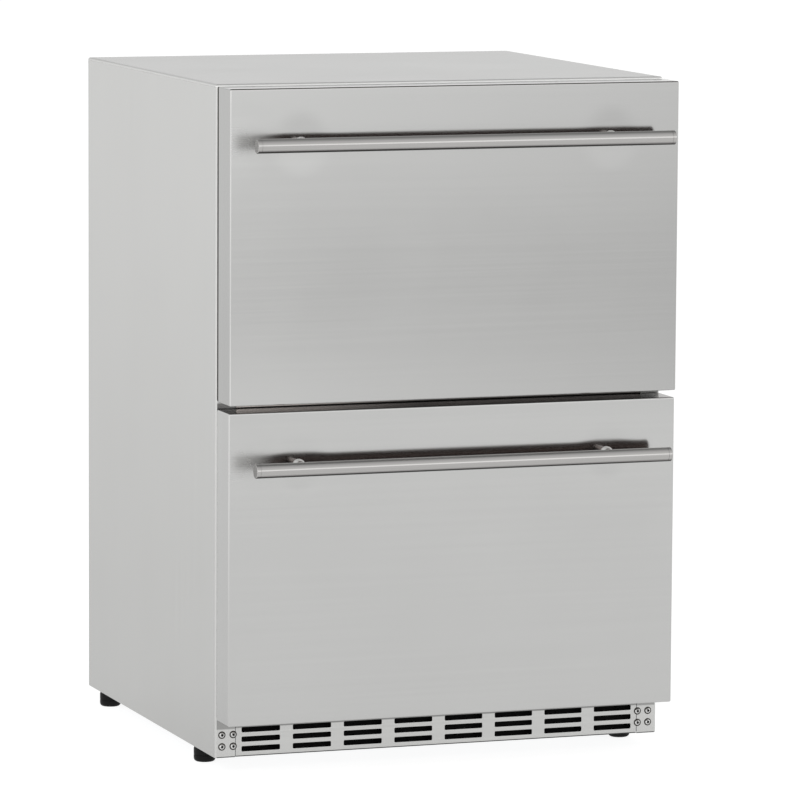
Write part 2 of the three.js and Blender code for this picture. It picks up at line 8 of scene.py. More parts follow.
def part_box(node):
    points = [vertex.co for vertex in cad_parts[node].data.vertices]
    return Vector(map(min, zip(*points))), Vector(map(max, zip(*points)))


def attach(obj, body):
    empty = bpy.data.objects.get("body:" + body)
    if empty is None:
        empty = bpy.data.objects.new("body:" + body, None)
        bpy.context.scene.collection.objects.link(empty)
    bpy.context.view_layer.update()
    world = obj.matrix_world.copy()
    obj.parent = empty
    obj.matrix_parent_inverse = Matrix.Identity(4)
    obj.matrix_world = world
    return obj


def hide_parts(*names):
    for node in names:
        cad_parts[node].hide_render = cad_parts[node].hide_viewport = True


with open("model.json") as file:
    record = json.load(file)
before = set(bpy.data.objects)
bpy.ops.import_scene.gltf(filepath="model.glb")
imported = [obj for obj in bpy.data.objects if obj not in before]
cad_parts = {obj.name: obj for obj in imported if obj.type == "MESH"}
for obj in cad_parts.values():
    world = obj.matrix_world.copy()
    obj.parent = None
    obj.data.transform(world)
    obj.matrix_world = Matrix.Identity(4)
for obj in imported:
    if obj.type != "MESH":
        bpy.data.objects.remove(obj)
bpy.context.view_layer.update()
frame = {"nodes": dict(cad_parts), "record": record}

NODES = frame["nodes"]
BODY = {n: b for b, ns in frame["record"]["behaviour"]["bodies"].items() for n in ns}
SLOT = {s["node"]: s["material_slot"] for s in frame["record"]["subparts"]}
SCENE = bpy.context.scene
MM = 0.001


def box(node):
    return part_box(node)


# ------------------------------------------------------------------ camera
def make_camera():
    yaw, pitch, roll = 0.34248, 0.12269, 0.00579
    y_back = box("rear_panel")[1].y                # cabinet rear face, 561 mm behind the flange
    y_flange = y_back - 0.561
    pos = Vector((-2.41030, -6.60751 + y_flange, 1.30971 + 0.020))
    fwd = Vector((math.sin(yaw) * math.cos(pitch), math.cos(yaw) * math.cos(pitch), -math.sin(pitch)))
    right = Vector((math.cos(yaw), -math.sin(yaw), 0))
    up = right.cross(fwd)
    r2 = right * math.cos(roll) + up * math.sin(roll)
    u2 = -right * math.sin(roll) + up * math.cos(roll)
    cam = bpy.data.cameras.new("photo_camera")
    cam.sensor_fit = "HORIZONTAL"
    cam.sensor_width = 36
    cam.lens = 5605.47 * 36 / 800
    cam.clip_start, cam.clip_end = 0.1, 200
    ob = bpy.data.objects.new("photo_camera", cam)
    SCENE.collection.objects.link(ob)
    m = Matrix((
        (r2.x, u2.x, -fwd.x, pos.x),
        (r2.y, u2.y, -fwd.y, pos.y),
        (r2.z, u2.z, -fwd.z, pos.z),
        (0, 0, 0, 1)))
    ob.matrix_world = m
    SCENE.camera = ob


# ------------------------------------------------------------------ node helpers
class Tree:
    def __init__(self, mat):
        mat.use_nodes = True
        self.t = mat.node_tree
        self.t.nodes.clear()
        self.out = self.new("ShaderNodeOutputMaterial")
        self.bsdf = self.new("ShaderNodeBsdfPrincipled")
        self.link(self.bsdf, "BSDF", self.out, "Surface")

    def new(self, kind, **kw):
        n = self.t.nodes.new(kind)
        for k, v in kw.items():
            setattr(n, k, v)
        return n

    def link(self, a, ao, b, bi):
        self.t.links.new(a.outputs[ao], b.inputs[bi])

    def coords(self, scale=(1, 1, 1), rot=(0, 0, 0)):
        tc = self.new("ShaderNodeTexCoord")
        mp = self.new("ShaderNodeMapping")
        mp.inputs["Scale"].default_value = scale
        mp.inputs["Rotation"].default_value = rot
        self.link(tc, "Object", mp, "Vector")
        return mp

    def noise(self, scale, detail=2.0, rough=0.5, mapping=(1, 1, 1), rot=(0, 0, 0)):
        mp = self.coords(mapping, rot)
        n = self.new("ShaderNodeTexNoise")
        n.inputs["Scale"].default_value = scale
        n.inputs["Detail"].default_value = detail
        n.inputs["Roughness"].default_value = rough
        self.link(mp, "Vector", n, "Vector")
        return n

    def ranged(self, src, out, lo, hi, a, b):
        r = self.new("ShaderNodeMapRange")
        r.inputs["From Min"].default_value = lo
        r.inputs["From Max"].default_value = hi
        r.inputs["To Min"].default_value = a
        r.inputs["To Max"].default_value = b
        self.link(src, out, r, "Value")
        return r

    def add(self, a, ao, b, bo, op="ADD"):
        m = self.new("ShaderNodeMath", operation=op)
        self.t.links.new(a.outputs[ao], m.inputs[0])
        self.t.links.new(b.outputs[bo], m.inputs[1])
        return m

    @staticmethod
    def colour_out(n):
        return 2 if n.bl_idname == "ShaderNodeMix" else ("Color" if "Color" in n.outputs else 0)

    def scaled(self, a, ao, b, bo):
        m = self.new("ShaderNodeMix", data_type="RGBA", blend_type="MULTIPLY")
        m.inputs[0].default_value = 1.0
        self.t.links.new(a.outputs[ao], m.inputs[6])
        self.t.links.new(b.outputs[bo], m.inputs[7])
        return m

    def ramp(self, src, out, stops):
        r = self.new("ShaderNodeValToRGB")
        e = r.color_ramp.elements
        while len(e) > 1:
            e.remove(e[-1])
        e[0].position, e[0].color = stops[0][0], (*stops[0][1], 1)
        for p, c in stops[1:]:
            x = e.new(p)
            x.color = (*c, 1)
        self.link(src, out, r, "Fac")
        return r

    def bump(self, src, out, strength, distance, prev=None):
        b = self.new("ShaderNodeBump")
        b.inputs["Strength"].default_value = strength
        b.inputs["Distance"].default_value = distance
        self.link(src, out, b, "Height")
        if prev:
            self.link(prev, "Normal", b, "Normal")
        return b


def grey(v, tint=(1, 1, 1)):
    return (v * tint[0], v * tint[1], v * tint[2])


def steel(name, base, rough, grain="x", streak=0.012, edge=0.72, smudge=0.03, width=1.0, relief=1.0, painted_light_drift=None, back=None, painted_shade_bands=(), worn=()):
    """Brushed stainless sheet. grain is the axis that the brush lines run along."""
    m = bpy.data.materials.new(name)
    t = Tree(m)
    long, fine = 3.0, 850.0 / width
    scale = {"x": (long, fine, fine), "y": (fine, long, fine), "z": (fine, fine, long)}[grain]
    line = t.noise(1.0, 3.0, 0.65, scale)
    coarse = t.noise(1.0, 2.0, 0.5, tuple(s * (0.16 if s > 50 else 0.7) for s in scale))
    cloud = t.noise(5.5, 3.0, 0.55)
    tone = t.add(t.ranged(line, "Fac", 0.3, 0.7, -streak, streak), "Result",
                 t.ranged(coarse, "Fac", 0.3, 0.7, -streak * 0.8, streak * 0.8), "Result")
    tone2 = t.add(tone, "Value", t.ranged(cloud, "Fac", 0.3, 0.7, -0.006, 0.006), "Result")
    mid = t.ranged(tone2, "Value", -0.1, 0.1, 0.0, 1.0)
    col = t.ramp(mid, "Result", [(0.0, tuple(c * 0.82 for c in base)), (0.5, base), (1.0, tuple(min(1, c * 1.18) for c in base))])
    shade_out = col
    if painted_light_drift:
        # painted light and shade: the colour is scaled from one value at the sheet's left edge to another at its right
        # edge, standing in for light that falls unevenly across it
        x0, x1, a, b = painted_light_drift
        tc = t.new("ShaderNodeTexCoord")
        sep = t.new("ShaderNodeSeparateXYZ")
        t.link(tc, "Object", sep, "Vector")
        drift = t.ranged(sep, "X", x0, x1, a, b)
        shade_out = t.scaled(col, "Color", drift, "Result")
    if back:
        # painted shade: the side that faces the door is painted dark brown so that its reflection in the door reads as
        # a dark band; this tint thins out towards the bar's left end, the back of the left tip is painted light grey
        # (painted light), and the underside is painted near black (painted shade)
        tc = t.new("ShaderNodeTexCoord")
        sep = t.new("ShaderNodeSeparateXYZ")
        t.link(tc, "Normal", sep, "Vector")
        lo, hi, tint = back
        rear = t.ranged(sep, "Y", lo, hi, 0.0, 1.0)
        otc = t.new("ShaderNodeTexCoord")
        osep = t.new("ShaderNodeSeparateXYZ")
        t.link(otc, "Object", osep, "Vector")
        end = t.ranged(osep, "X", -0.268, -0.226, 0.0, 1.0)
        rear = t.add(rear, "Result", end, "Result", "MULTIPLY")
        tip = t.ranged(osep, "X", -0.272, -0.236, 1.0, 0.0)
        rim = t.ranged(sep, "Y", lo, hi, 0.0, 1.0)
        tip = t.add(tip, "Result", rim, "Result", "MULTIPLY")
        fac = rear
        mixc = t.new("ShaderNodeMix", data_type="RGBA")
        t.t.links.new(fac.outputs[0], mixc.inputs[0])
        t.t.links.new(shade_out.outputs[t.colour_out(shade_out)], mixc.inputs[6])
        mixc.inputs[7].default_value = (*tint, 1)
        under = t.ranged(sep, "Z", -0.50, -0.86, 0.0, 1.0)
        low = t.new("ShaderNodeMix", data_type="RGBA")
        t.t.links.new(under.outputs["Result"], low.inputs[0])
        t.t.links.new(mixc.outputs[2], low.inputs[6])
        low.inputs[7].default_value = (0.024, 0.021, 0.020, 1)
        painted_tip_light = t.new("ShaderNodeMix", data_type="RGBA")
        t.t.links.new(tip.outputs["Value"], painted_tip_light.inputs[0])
        t.t.links.new(low.outputs[2], painted_tip_light.inputs[6])
        painted_tip_light.inputs[7].default_value = (0.80, 0.79, 0.78, 1)
        shade_out = painted_tip_light
    for z0, z1, soft, amount in painted_shade_bands:
        # painted shade: a narrow strip painted darker where shade falls, along a bottom edge, under a drawer front or
        # in the gap between the drawers
        tc = t.new("ShaderNodeTexCoord")
        sep = t.new("ShaderNodeSeparateXYZ")
        t.link(tc, "Object", sep, "Vector")
        up = t.ranged(sep, "Z", z0 - soft, z0, 0.0, 1.0)
        down = t.ranged(sep, "Z", z1, z1 + soft, 1.0, 0.0)
        inside = t.add(up, "Result", down, "Result", "MULTIPLY")
        gain = t.ranged(inside, "Value", 0.0, 1.0, 1.0, amount)
        shade_out = t.scaled(shade_out, t.colour_out(shade_out), gain, "Result")
    t.t.links.new(shade_out.outputs[t.colour_out(shade_out)], t.bsdf.inputs["Base Color"])
    r1 = t.ranged(line, "Fac", 0.25, 0.75, rough - 0.02, rough + 0.02)
    r2 = t.ranged(cloud, "Fac", 0.35, 0.75, -smudge * 0.4, smudge)
    rough_out = t.add(r1, "Result", r2, "Result")
    for x, z, radius, amount in worn:
        # a spot that hands have rubbed dull
        tc = t.new("ShaderNodeTexCoord")
        sep = t.new("ShaderNodeSeparateXYZ")
        t.link(tc, "Object", sep, "Vector")
        flat = t.new("ShaderNodeCombineXYZ")
        t.link(sep, "X", flat, "X")
        t.link(sep, "Z", flat, "Z")
        away = t.new("ShaderNodeVectorMath", operation="DISTANCE")
        t.t.links.new(flat.outputs["Vector"], away.inputs[0])
        away.inputs[1].default_value = (x, 0.0, z)
        more = t.ranged(away, "Value", radius, radius * 0.25, 0.0, amount)
        rough_out = t.add(rough_out, "Value", more, "Result")
    t.link(rough_out, "Value", t.bsdf, "Roughness")
    b = t.bump(line, "Fac", 0.06 * relief, 0.00006)
    b = t.bump(coarse, "Fac", 0.05 * relief, 0.00012, b)
    t.link(b, "Normal", t.bsdf, "Normal")
    t.bsdf.inputs["Metallic"].default_value = 1.0
    t.bsdf.inputs["Specular Tint"].default_value = (edge, edge, edge, 1)
    return m


def galvanised(name, base=(0.42, 0.44, 0.46)):
    m = bpy.data.materials.new(name)
    t = Tree(m)
    mp = t.coords((1, 1, 1))
    v = t.new("ShaderNodeTexVoronoi", feature="F1")
    v.inputs["Scale"].default_value = 120
    t.link(mp, "Vector", v, "Vector")
    sep = t.new("ShaderNodeSeparateColor")
    t.link(v, "Color", sep, "Color")
    cloud = t.noise(14, 4, 0.6)
    mix = t.add(t.ranged(sep, "Red", 0, 1, -0.22, 0.22), "Result", cloud, "Fac")
    col = t.ramp(mix, "Value", [(0.05, tuple(c * 0.86 for c in base)), (0.5, base), (0.95, tuple(c * 1.14 for c in base))])
    t.link(col, "Color", t.bsdf, "Base Color")
    t.link(t.ranged(mix, "Value", 0, 1, 0.34, 0.52), "Result", t.bsdf, "Roughness")
    b = t.bump(sep, "Green", 0.03, 0.0001)
    t.link(b, "Normal", t.bsdf, "Normal")
    t.bsdf.inputs["Metallic"].default_value = 1.0
    return m


def plastic(name, base, rough, vary=0.05, grain=900, bump=0.12, dist=0.0001, spec=0.5, cloud=9):
    m = bpy.data.materials.new(name)
    t = Tree(m)
    fine = t.noise(grain, 2, 0.6)
    big = t.noise(cloud, 4, 0.6)
    col = t.ramp(big, "Fac", [(0.3, tuple(c * (1 - vary) for c in base)), (0.7, tuple(min(1, c * (1 + vary)) for c in base))])
    t.link(col, "Color", t.bsdf, "Base Color")
    r = t.add(t.ranged(big, "Fac", 0.3, 0.7, rough - 0.04, rough + 0.05), "Result",
              t.ranged(fine, "Fac", 0.3, 0.7, -0.03, 0.03), "Result")
    t.link(r, "Value", t.bsdf, "Roughness")
    b = t.bump(fine, "Fac", bump, dist)
    t.link(b, "Normal", t.bsdf, "Normal")
    t.bsdf.inputs["Specular IOR Level"].default_value = spec
    return m


def foam_material(name):
    m = bpy.data.materials.new(name)
    t = Tree(m)
    mp = t.coords()
    v = t.new("ShaderNodeTexVoronoi")
    v.inputs["Scale"].default_value = 420
    t.link(mp, "Vector", v, "Vector")
    big = t.noise(12, 4, 0.6)
    mix = t.add(t.ranged(v, "Distance", 0, 0.7, -0.2, 0.2), "Result", big, "Fac")
    col = t.ramp(mix, "Value", [(0.2, (0.55, 0.44, 0.2)), (0.8, (0.80, 0.71, 0.42))])
    t.link(col, "Color", t.bsdf, "Base Color")
    t.link(t.ranged(mix, "Value", 0.2, 0.8, 0.85, 0.98), "Result", t.bsdf, "Roughness")
    t.link(t.bump(v, "Distance", 0.5, 0.0006), "Normal", t.bsdf, "Normal")
    return m


MAT = {}


def make_materials():
    st = (0.545, 0.545, 0.537)
    MAT["side"] = steel("stainless_side", (0.56, 0.56, 0.552), 0.21, "z", streak=0.006, relief=0.5)
    MAT["top"] = steel("stainless_top", (0.56, 0.56, 0.552), 0.22, "x", streak=0.004, edge=0.66, relief=0.12, smudge=0.012)
    grip = {k: (box(f"{k}_handle_bar")[0].z + box(f"{k}_handle_bar")[1].z) / 2 for k in ("upper", "lower")}
    # painted light and shade: the upper front is painted brighter at its left edge and darker at its right edge
    MAT["front_upper"] = steel("stainless_front_upper", (0.520, 0.520, 0.515), 0.125, "x", streak=0.005, relief=0.6,
                               smudge=0.015, painted_light_drift=(-0.30, 0.30, 1.045, 0.905), worn=((-0.290, grip["upper"] + 0.003, 0.062, 0.15),))
    MAT["front_lower"] = steel("stainless_front_lower", (0.535, 0.535, 0.530), 0.125, "x", streak=0.005, relief=0.6, smudge=0.015,
                               worn=((-0.290, grip["lower"] + 0.003, 0.062, 0.15),))
    # painted shade: the upper front's side returns get a darker copy of the front steel
    MAT["return_upper"] = steel("stainless_return", (0.445, 0.445, 0.440), 0.17, "z", streak=0.006, relief=0.6)
    MAT["return_lower"] = steel("stainless_return_lower", (0.525, 0.525, 0.520), 0.15, "z", streak=0.006, relief=0.6)
    # painted shade: a darker strip along the bottom edge and another just under the lower drawer front, where its
    # shadow falls
    MAT["toe"] = steel("stainless_toe", st, 0.24, "x", painted_shade_bands=((0.0, 0.0215, 0.0003, 0.10), (0.0574, 0.070, 0.0012, 0.48)))
    gap_z = (box("lower_front_panel")[1].z, box("upper_front_panel")[0].z)
    MAT["bend"] = steel("stainless_bend", (0.58, 0.58, 0.572), 0.42, "z", streak=0.006, relief=0.4)
    # painted highlight: the top panel's front bend gets a brighter copy of the steel
    MAT["brow"] = steel("stainless_brow_painted_highlight", (0.76, 0.76, 0.752), 0.42, "x", streak=0.006, relief=0.4)
    # painted highlight: the bends where the sides meet the top get a brighter copy of the steel
    MAT["crease"] = steel("stainless_crease_painted_highlight", (0.66, 0.66, 0.652), 0.34, "y", streak=0.006, relief=0.4)
    # painted shade: the upper front's top fold gets a near-black copy of the steel, standing in for a dark reflection
    MAT["fold"] = steel("stainless_fold_painted_shade", (0.17, 0.16, 0.155), 0.22, "x", streak=0.006, relief=0.4)
    # painted shade: darker strips along the bottom edge, just under the lower drawer front, and in the gap between the
    # drawers
    MAT["flange"] = steel("stainless_flange", (0.56, 0.56, 0.552), 0.24, "z", streak=0.006, relief=0.5,
                          painted_shade_bands=((0.0, 0.0210, 0.0003, 0.12), (0.0568, 0.067, 0.0015, 0.56),
                                 (gap_z[0] - 0.003, gap_z[1] - 0.003, 0.0015, 0.34)))
    # painted light: the lips in the drawer gap are painted brighter at their left end and darker towards the middle
    MAT["lip"] = steel("stainless_lip", (0.50, 0.485, 0.475), 0.20, "x", streak=0.01, painted_light_drift=(-0.27, -0.06, 1.3, 0.7))
    # painted light and shade: the mullion seen through the drawer gap is painted brighter at its left end and darker
    # towards the middle, with a dark line painted at the lower front's top edge
    MAT["mullion"] = steel("mullion_steel", (0.50, 0.465, 0.445), 0.16, "x", streak=0.01, painted_light_drift=(-0.27, -0.03, 1.3, 0.32),
                           painted_shade_bands=((gap_z[0] - 0.0012, gap_z[0] + 0.0012, 0.0004, 0.12),))
    MAT["bin"] = steel("stainless_bin", (0.55, 0.555, 0.56), 0.27, "y", streak=0.02)
    # painted shade: the bar's back is painted dark brown and its underside near black, and the back of its left tip is
    # painted light grey
    MAT["bar"] = steel("stainless_bar", (0.440, 0.432, 0.425), 0.13, "x", streak=0.012, width=0.8,
                       back=(0.30, 0.62, (0.080, 0.058, 0.053)))
    # painted highlight on the post's root and painted shade on its shank: a bright and a dark copy of the steel
    MAT["post"] = steel("stainless_post_painted_highlight", (0.88, 0.87, 0.86), 0.48, "y", streak=0.012)
    MAT["shank"] = steel("post_shank_painted_shade", (0.19, 0.155, 0.142), 0.20, "y", streak=0.012)
    MAT["screw"] = steel("screw_steel", (0.60, 0.60, 0.595), 0.2, "x", streak=0.03)
    MAT["slide"] = steel("zinc_slide", (0.50, 0.515, 0.53), 0.3, "y", streak=0.03)
    MAT["coil"] = steel("fin_aluminium", (0.55, 0.56, 0.58), 0.38, "z", streak=0.04)
    MAT["galv"] = galvanised("galvanised_sheet")
    MAT["rear"] = galvanised("galvanised_rear", (0.44, 0.455, 0.47))
    MAT["liner"] = plastic("liner_plastic", (0.78, 0.79, 0.785), 0.34, 0.02, 1200, 0.08)
    MAT["cover"] = plastic("cover_plastic", (0.66, 0.67, 0.67), 0.42, 0.03, 1500, 0.15)
    MAT["gasket"] = plastic("gasket_rubber", (0.034, 0.031, 0.028), 0.75, 0.12, 700, 0.2, spec=0.10)
    MAT["foam"] = foam_material("foam")
    MAT["black"] = plastic("black_plastic", (0.0035, 0.0035, 0.0035), 0.55, 0.25, 1400, 0.25, spec=0.16)
    MAT["fan"] = plastic("fan_plastic", (0.018, 0.019, 0.021), 0.42, 0.2, 900, 0.12)
    MAT["comp"] = plastic("compressor_enamel", (0.012, 0.012, 0.013), 0.22, 0.3, 260, 0.10, 0.0003)
    # painted shade: near black for the inside of screw sockets, where shade falls
    MAT["recess"] = plastic("socket_painted_shade", (0.010, 0.0095, 0.009), 0.6, 0.2, 900, 0.2, spec=0.2)
    # painted shade: near-black sheet seen through the toe slots
    MAT["filter"] = plastic("slot_shade_sheet", (0.0045, 0.0045, 0.0045), 0.85, 0.2, 1600, 0.5, spec=0.1)


BY_SLOT = {
    "stainless": "side", "front_steel": "front_upper", "mullion_black": "mullion", "bar_steel": "bar", "screw_steel": "screw", "galvanised": "galv",
    "slide_steel": "slide", "coil_metal": "coil", "liner_plastic": "liner", "cover_plastic": "cover",
    "gasket_rubber": "gasket", "foam": "foam", "black_plastic": "black", "fan_plastic": "fan", "compressor_black": "comp",
}


def paint_cad(node, key):
    o = NODES[node]
    if not o.material_slots:
        o.data.materials.append(None)
    for s in o.material_slots:
        s.link = "OBJECT"
        s.material = MAT[key]


# ------------------------------------------------------------------ mesh helpers
def put(name, bm, mats, node=None, extra=(), angle=32, weighted=True, body=None, solid=None):
    """A bmesh becomes a piece that rides on the CAD node's body and replaces it."""
    me = bpy.data.meshes.new(name)
    bmesh.ops.recalc_face_normals(bm, faces=bm.faces)
    bm.to_mesh(me)
    bm.free()
    o = bpy.data.objects.new(name, me)
    SCENE.collection.objects.link(o)
    for k in ([mats] if isinstance(mats, str) else mats):
        me.materials.append(MAT[k])
    if solid:
        md = o.modifiers.new("sheet", "SOLIDIFY")
        md.thickness = solid
        md.offset = -1
        md.use_even_offset = True
        bake(o)
    shade(o, angle, weighted)
    if node:
        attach(o, BODY[node])
        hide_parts(node, *extra)
    else:
        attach(o, body)
    return o


def bake(o):
    bpy.context.view_layer.update()
    dg = bpy.context.evaluated_depsgraph_get()
    me = bpy.data.meshes.new_from_object(o.evaluated_get(dg))
    me.name = o.name
    o.modifiers.clear()
    o.data = me


def shade(o, angle=32, weighted=True):
    me = o.data
    me.polygons.foreach_set("use_smooth", [True] * len(me.polygons))
    me.set_sharp_from_angle(angle=math.radians(angle))
    if weighted:
        w = o.modifiers.new("normals", "WEIGHTED_NORMAL")
        w.keep_sharp = True
        w.weight = 100


def cube(lo, hi):
    bm = bmesh.new()
    bmesh.ops.create_cube(bm, size=1)
    s = Vector(hi) - Vector(lo)
    c = (Vector(hi) + Vector(lo)) / 2
    for v in bm.verts:
        v.co = Vector((v.co.x * s.x, v.co.y * s.y, v.co.z * s.z)) + c
    return bm


def round_cube(lo, hi, r, seg=4, pick=None):
    bm = cube(lo, hi)
    edges = [e for e in bm.edges if pick is None or pick(e)]
    bmesh.ops.bevel(bm, geom=edges, offset=r, segments=seg, profile=0.5, affect="EDGES", clamp_overlap=True)
    return bm


def cut(bm, co, no):
    bmesh.ops.bisect_plane(bm, geom=bm.verts[:] + bm.edges[:] + bm.faces[:], dist=1e-7, plane_co=co, plane_no=no)


def keep(bm, test):
    dead = [f for f in bm.faces if not test(f.calc_center_median())]
    bmesh.ops.delete(bm, geom=dead, context="FACES")


def join(a, b):
    me = bpy.data.meshes.new("tmp")
    b.to_mesh(me)
    b.free()
    a.from_mesh(me)
    bpy.data.meshes.remove(me)
    return a


def lathe(profile, seg=48, axis="z", at=(0, 0, 0)):
    """profile: (radius, distance). Closed solid of revolution."""
    bm = bmesh.new()
    rings = []
    for r, h in profile:
        if r < 1e-9:
            rings.append([bm.verts.new((0, 0, h))])
        else:
            rings.append([bm.verts.new((r * math.cos(2 * math.pi * i / seg), r * math.sin(2 * math.pi * i / seg), h)) for i in range(seg)])
    for a, b in zip(rings, rings[1:]):
        for i in range(seg):
            j = (i + 1) % seg
            if len(a) == 1 and len(b) == 1:
                continue
            if len(a) == 1:
                bm.faces.new((a[0], b[i], b[j]))
            elif len(b) == 1:
                bm.faces.new((a[i], b[0], a[j]))
            else:
                bm.faces.new((a[i], b[i], b[j], a[j]))
    turn = {"z": Matrix.Identity(4), "x": Matrix.Rotation(math.pi / 2, 4, "Y"), "y": Matrix.Rotation(-math.pi / 2, 4, "X"),
            "-y": Matrix.Rotation(math.pi / 2, 4, "X")}[axis]
    bmesh.ops.transform(bm, matrix=Matrix.Translation(at) @ turn, verts=bm.verts)
    return bm


def plate(outlines, y0, y1, bevel=0.0, res=1):
    """Flat plate in the XZ plane from outlines (the first is the outside, the rest are holes), y0..y1, with a small edge bevel."""
    cu = bpy.data.curves.new("plate", "CURVE")
    cu.dimensions = "2D"
    cu.fill_mode = "BOTH"
    cu.extrude = (y1 - y0) / 2 - bevel
    cu.bevel_depth = bevel
    cu.bevel_resolution = res
    cu.offset = -bevel
    for pts in outlines:
        s = cu.splines.new("POLY")
        s.points.add(len(pts) - 1)
        for p, (x, z) in zip(s.points, pts):
            p.co = (x, z, 0, 1)
        s.use_cyclic_u = True
    ob = bpy.data.objects.new("plate", cu)
    SCENE.collection.objects.link(ob)
    bpy.context.view_layer.update()
    me = bpy.data.meshes.new_from_object(ob.evaluated_get(bpy.context.evaluated_depsgraph_get()))
    bpy.data.objects.remove(ob)
    bpy.data.curves.remove(cu)
    bm = bmesh.new()
    bm.from_mesh(me)
    bpy.data.meshes.remove(me)
    bmesh.ops.remove_doubles(bm, verts=bm.verts, dist=1e-6)
    for v in bm.verts:
        v.co = Vector((v.co.x, (y0 + y1) / 2 - v.co.z, v.co.y))
    return bm


def slot_outline(cx, cz, w, h, r, seg=5):
    pts = []
    for sx, sz, a0 in ((1, 1, 0), (-1, 1, 90), (-1, -1, 180), (1, -1, 270)):
        for i in range(seg + 1):
            a = math.radians(a0 + 90 * i / seg)
            pts.append((cx + sx * (w / 2 - r) + r * math.cos(a), cz + sz * (h / 2 - r) + r * math.sin(a)))
    return pts


# ------------------------------------------------------------------ drawer fronts and handles
def dimples(bm, level, face):
    """The sheet is drawn in a little around each handle post, where the post's screw pulls on it."""
    blo, bhi = box(f"{level}_handle_bar")
    cz = (blo.z + bhi.z) / 2
    wide, flat, deep = 44 * MM, 7 * MM, (0.75 if level == "lower" else 0.42) * MM
    half = wide + 2 * MM
    centres = []
    for word in ("left", "right"):
        plo, phi = box(f"{level}_handle_post_{word}")
        centres.append((plo.x + phi.x) / 2)
    for cx in centres:
        cut(bm, (cx - half, 0, 0), (1, 0, 0))
        cut(bm, (cx + half, 0, 0), (1, 0, 0))
    cut(bm, (0, 0, cz - half), (0, 0, 1))
    cut(bm, (0, 0, cz + half), (0, 0, 1))
    edges = set()
    for f in bm.faces:
        f.normal_update()
        c = f.calc_center_median()
        if f.normal.y < -0.99 and abs(c.z - cz) < half and any(abs(c.x - cx) < half for cx in centres):
            edges.update(f.edges)
    bmesh.ops.subdivide_edges(bm, edges=list(edges), cuts=19, use_grid_fill=True)
    for v in bm.verts:
        if abs(v.co.y - face) > 1e-6:
            continue
        for cx in centres:
            r = math.hypot(v.co.x - cx, v.co.z - cz)
            if r < wide:
                u = min(max((r - flat) / (wide - flat), 0.0), 1.0)
                v.co.y = face + deep * 0.5 * (1 + math.cos(math.pi * u))


def drawer_front(level):
    lo, hi = box(f"{level}_front_panel")
    bm = round_cube(lo, Vector((hi.x, hi.y + 0.02, hi.z)), 2.0 * MM, 5)
    cut(bm, (0, hi.y, 0), (0, 1, 0))
    keep(bm, lambda c: c.y < hi.y)
    dimples(bm, level, lo.y)
    for f in bm.faces:
        f.normal_update()
        # side returns; on the upper front they take a darker copy of the steel, painted shade
        if abs(f.normal.x) > 0.8:
            f.material_index = 1
        # top and bottom lips take the lip steel, painted brighter at the left end
        elif abs(f.normal.z) > 0.9 and level == "lower" or f.normal.z < -0.9:
            f.material_index = 2
        # the upper front's top fold, painted near black as shade
        elif level == "upper" and f.normal.z > 0.35 and f.normal.y < -0.05:
            f.material_index = 3
    put(f"{level}_front_skin", bm, [f"front_{level}", f"return_{level}", "lip", "fold"], f"{level}_front_panel", solid=1.0 * MM)

    lo, hi = box(f"{level}_front_liner")
    plo, phi = box(f"{level}_front_panel")
    back = phi.y - 0.6 * MM
    bm = round_cube((lo.x, lo.y, lo.z), (hi.x, back, hi.z), 1.2 * MM, 3)
    raised = round_cube((-0.241, back - 1 * MM, plo.z + 0.040), (0.241, hi.y, phi.z - 0.040), 3.0 * MM, 5,
                        pick=lambda e: abs(e.verts[0].co.y - hi.y) < 1e-6 and abs(e.verts[1].co.y - hi.y) < 1e-6)
    join(bm, raised)
    put(f"{level}_front_inner", bm, "liner", f"{level}_front_liner")


def gasket(level):
    lo, hi = box(f"{level}_gasket")
    y0, y1 = lo.y, hi.y
    d = y1 - y0
    w = hi.x - 277 * MM
    # half-round bulb on a flat base with a bellows fold at each side: (in from the outer edge, y)
    prof = [(0.0, y0), (0.0, y0 + d * 0.14), (1.6 * MM, y0 + d * 0.22), (0.7 * MM, y0 + d * 0.36), (0.6 * MM, y0 + d * 0.62)]
    n = 7
    for i in range(n + 1):
        a = math.pi * i / n
        prof.append((w / 2 - (w / 2 - 0.4 * MM) * math.cos(a), y0 + d * 0.70 + d * 0.30 * math.sin(a) ** 0.8 if 0 < i < n else y0 + d * 0.70))
    prof += [(w - 0.6 * MM, y0 + d * 0.62), (w - 0.7 * MM, y0 + d * 0.36), (w - 1.6 * MM, y0 + d * 0.22), (w, y0 + d * 0.14), (w, y0)]
    r0 = 3 * MM
    bm = bmesh.new()
    rows = []
    for inset, y in prof:
        ring = []
        x0, x1, z0, z1 = lo.x + inset, hi.x - inset, lo.z + inset, hi.z - inset
        r = max(r0 - inset * 0.2, 0.6 * MM)
        for cx, cz, a0 in ((x1 - r, z1 - r, 0), (x0 + r, z1 - r, 90), (x0 + r, z0 + r, 180), (x1 - r, z0 + r, 270)):
            for i in range(5):
                a = math.radians(a0 + 90 * i / 4)
                ring.append(bm.verts.new((cx + r * math.cos(a), y, cz + r * math.sin(a))))
        rows.append(ring)
    rows.append(rows[0])
    for a, b in zip(rows, rows[1:]):
        for i in range(len(a)):
            j = (i + 1) % len(a)
            bm.faces.new((a[i], a[j], b[j], b[i]))
    put(f"{level}_gasket_seal", bm, "gasket", f"{level}_gasket", angle=50, weighted=False)


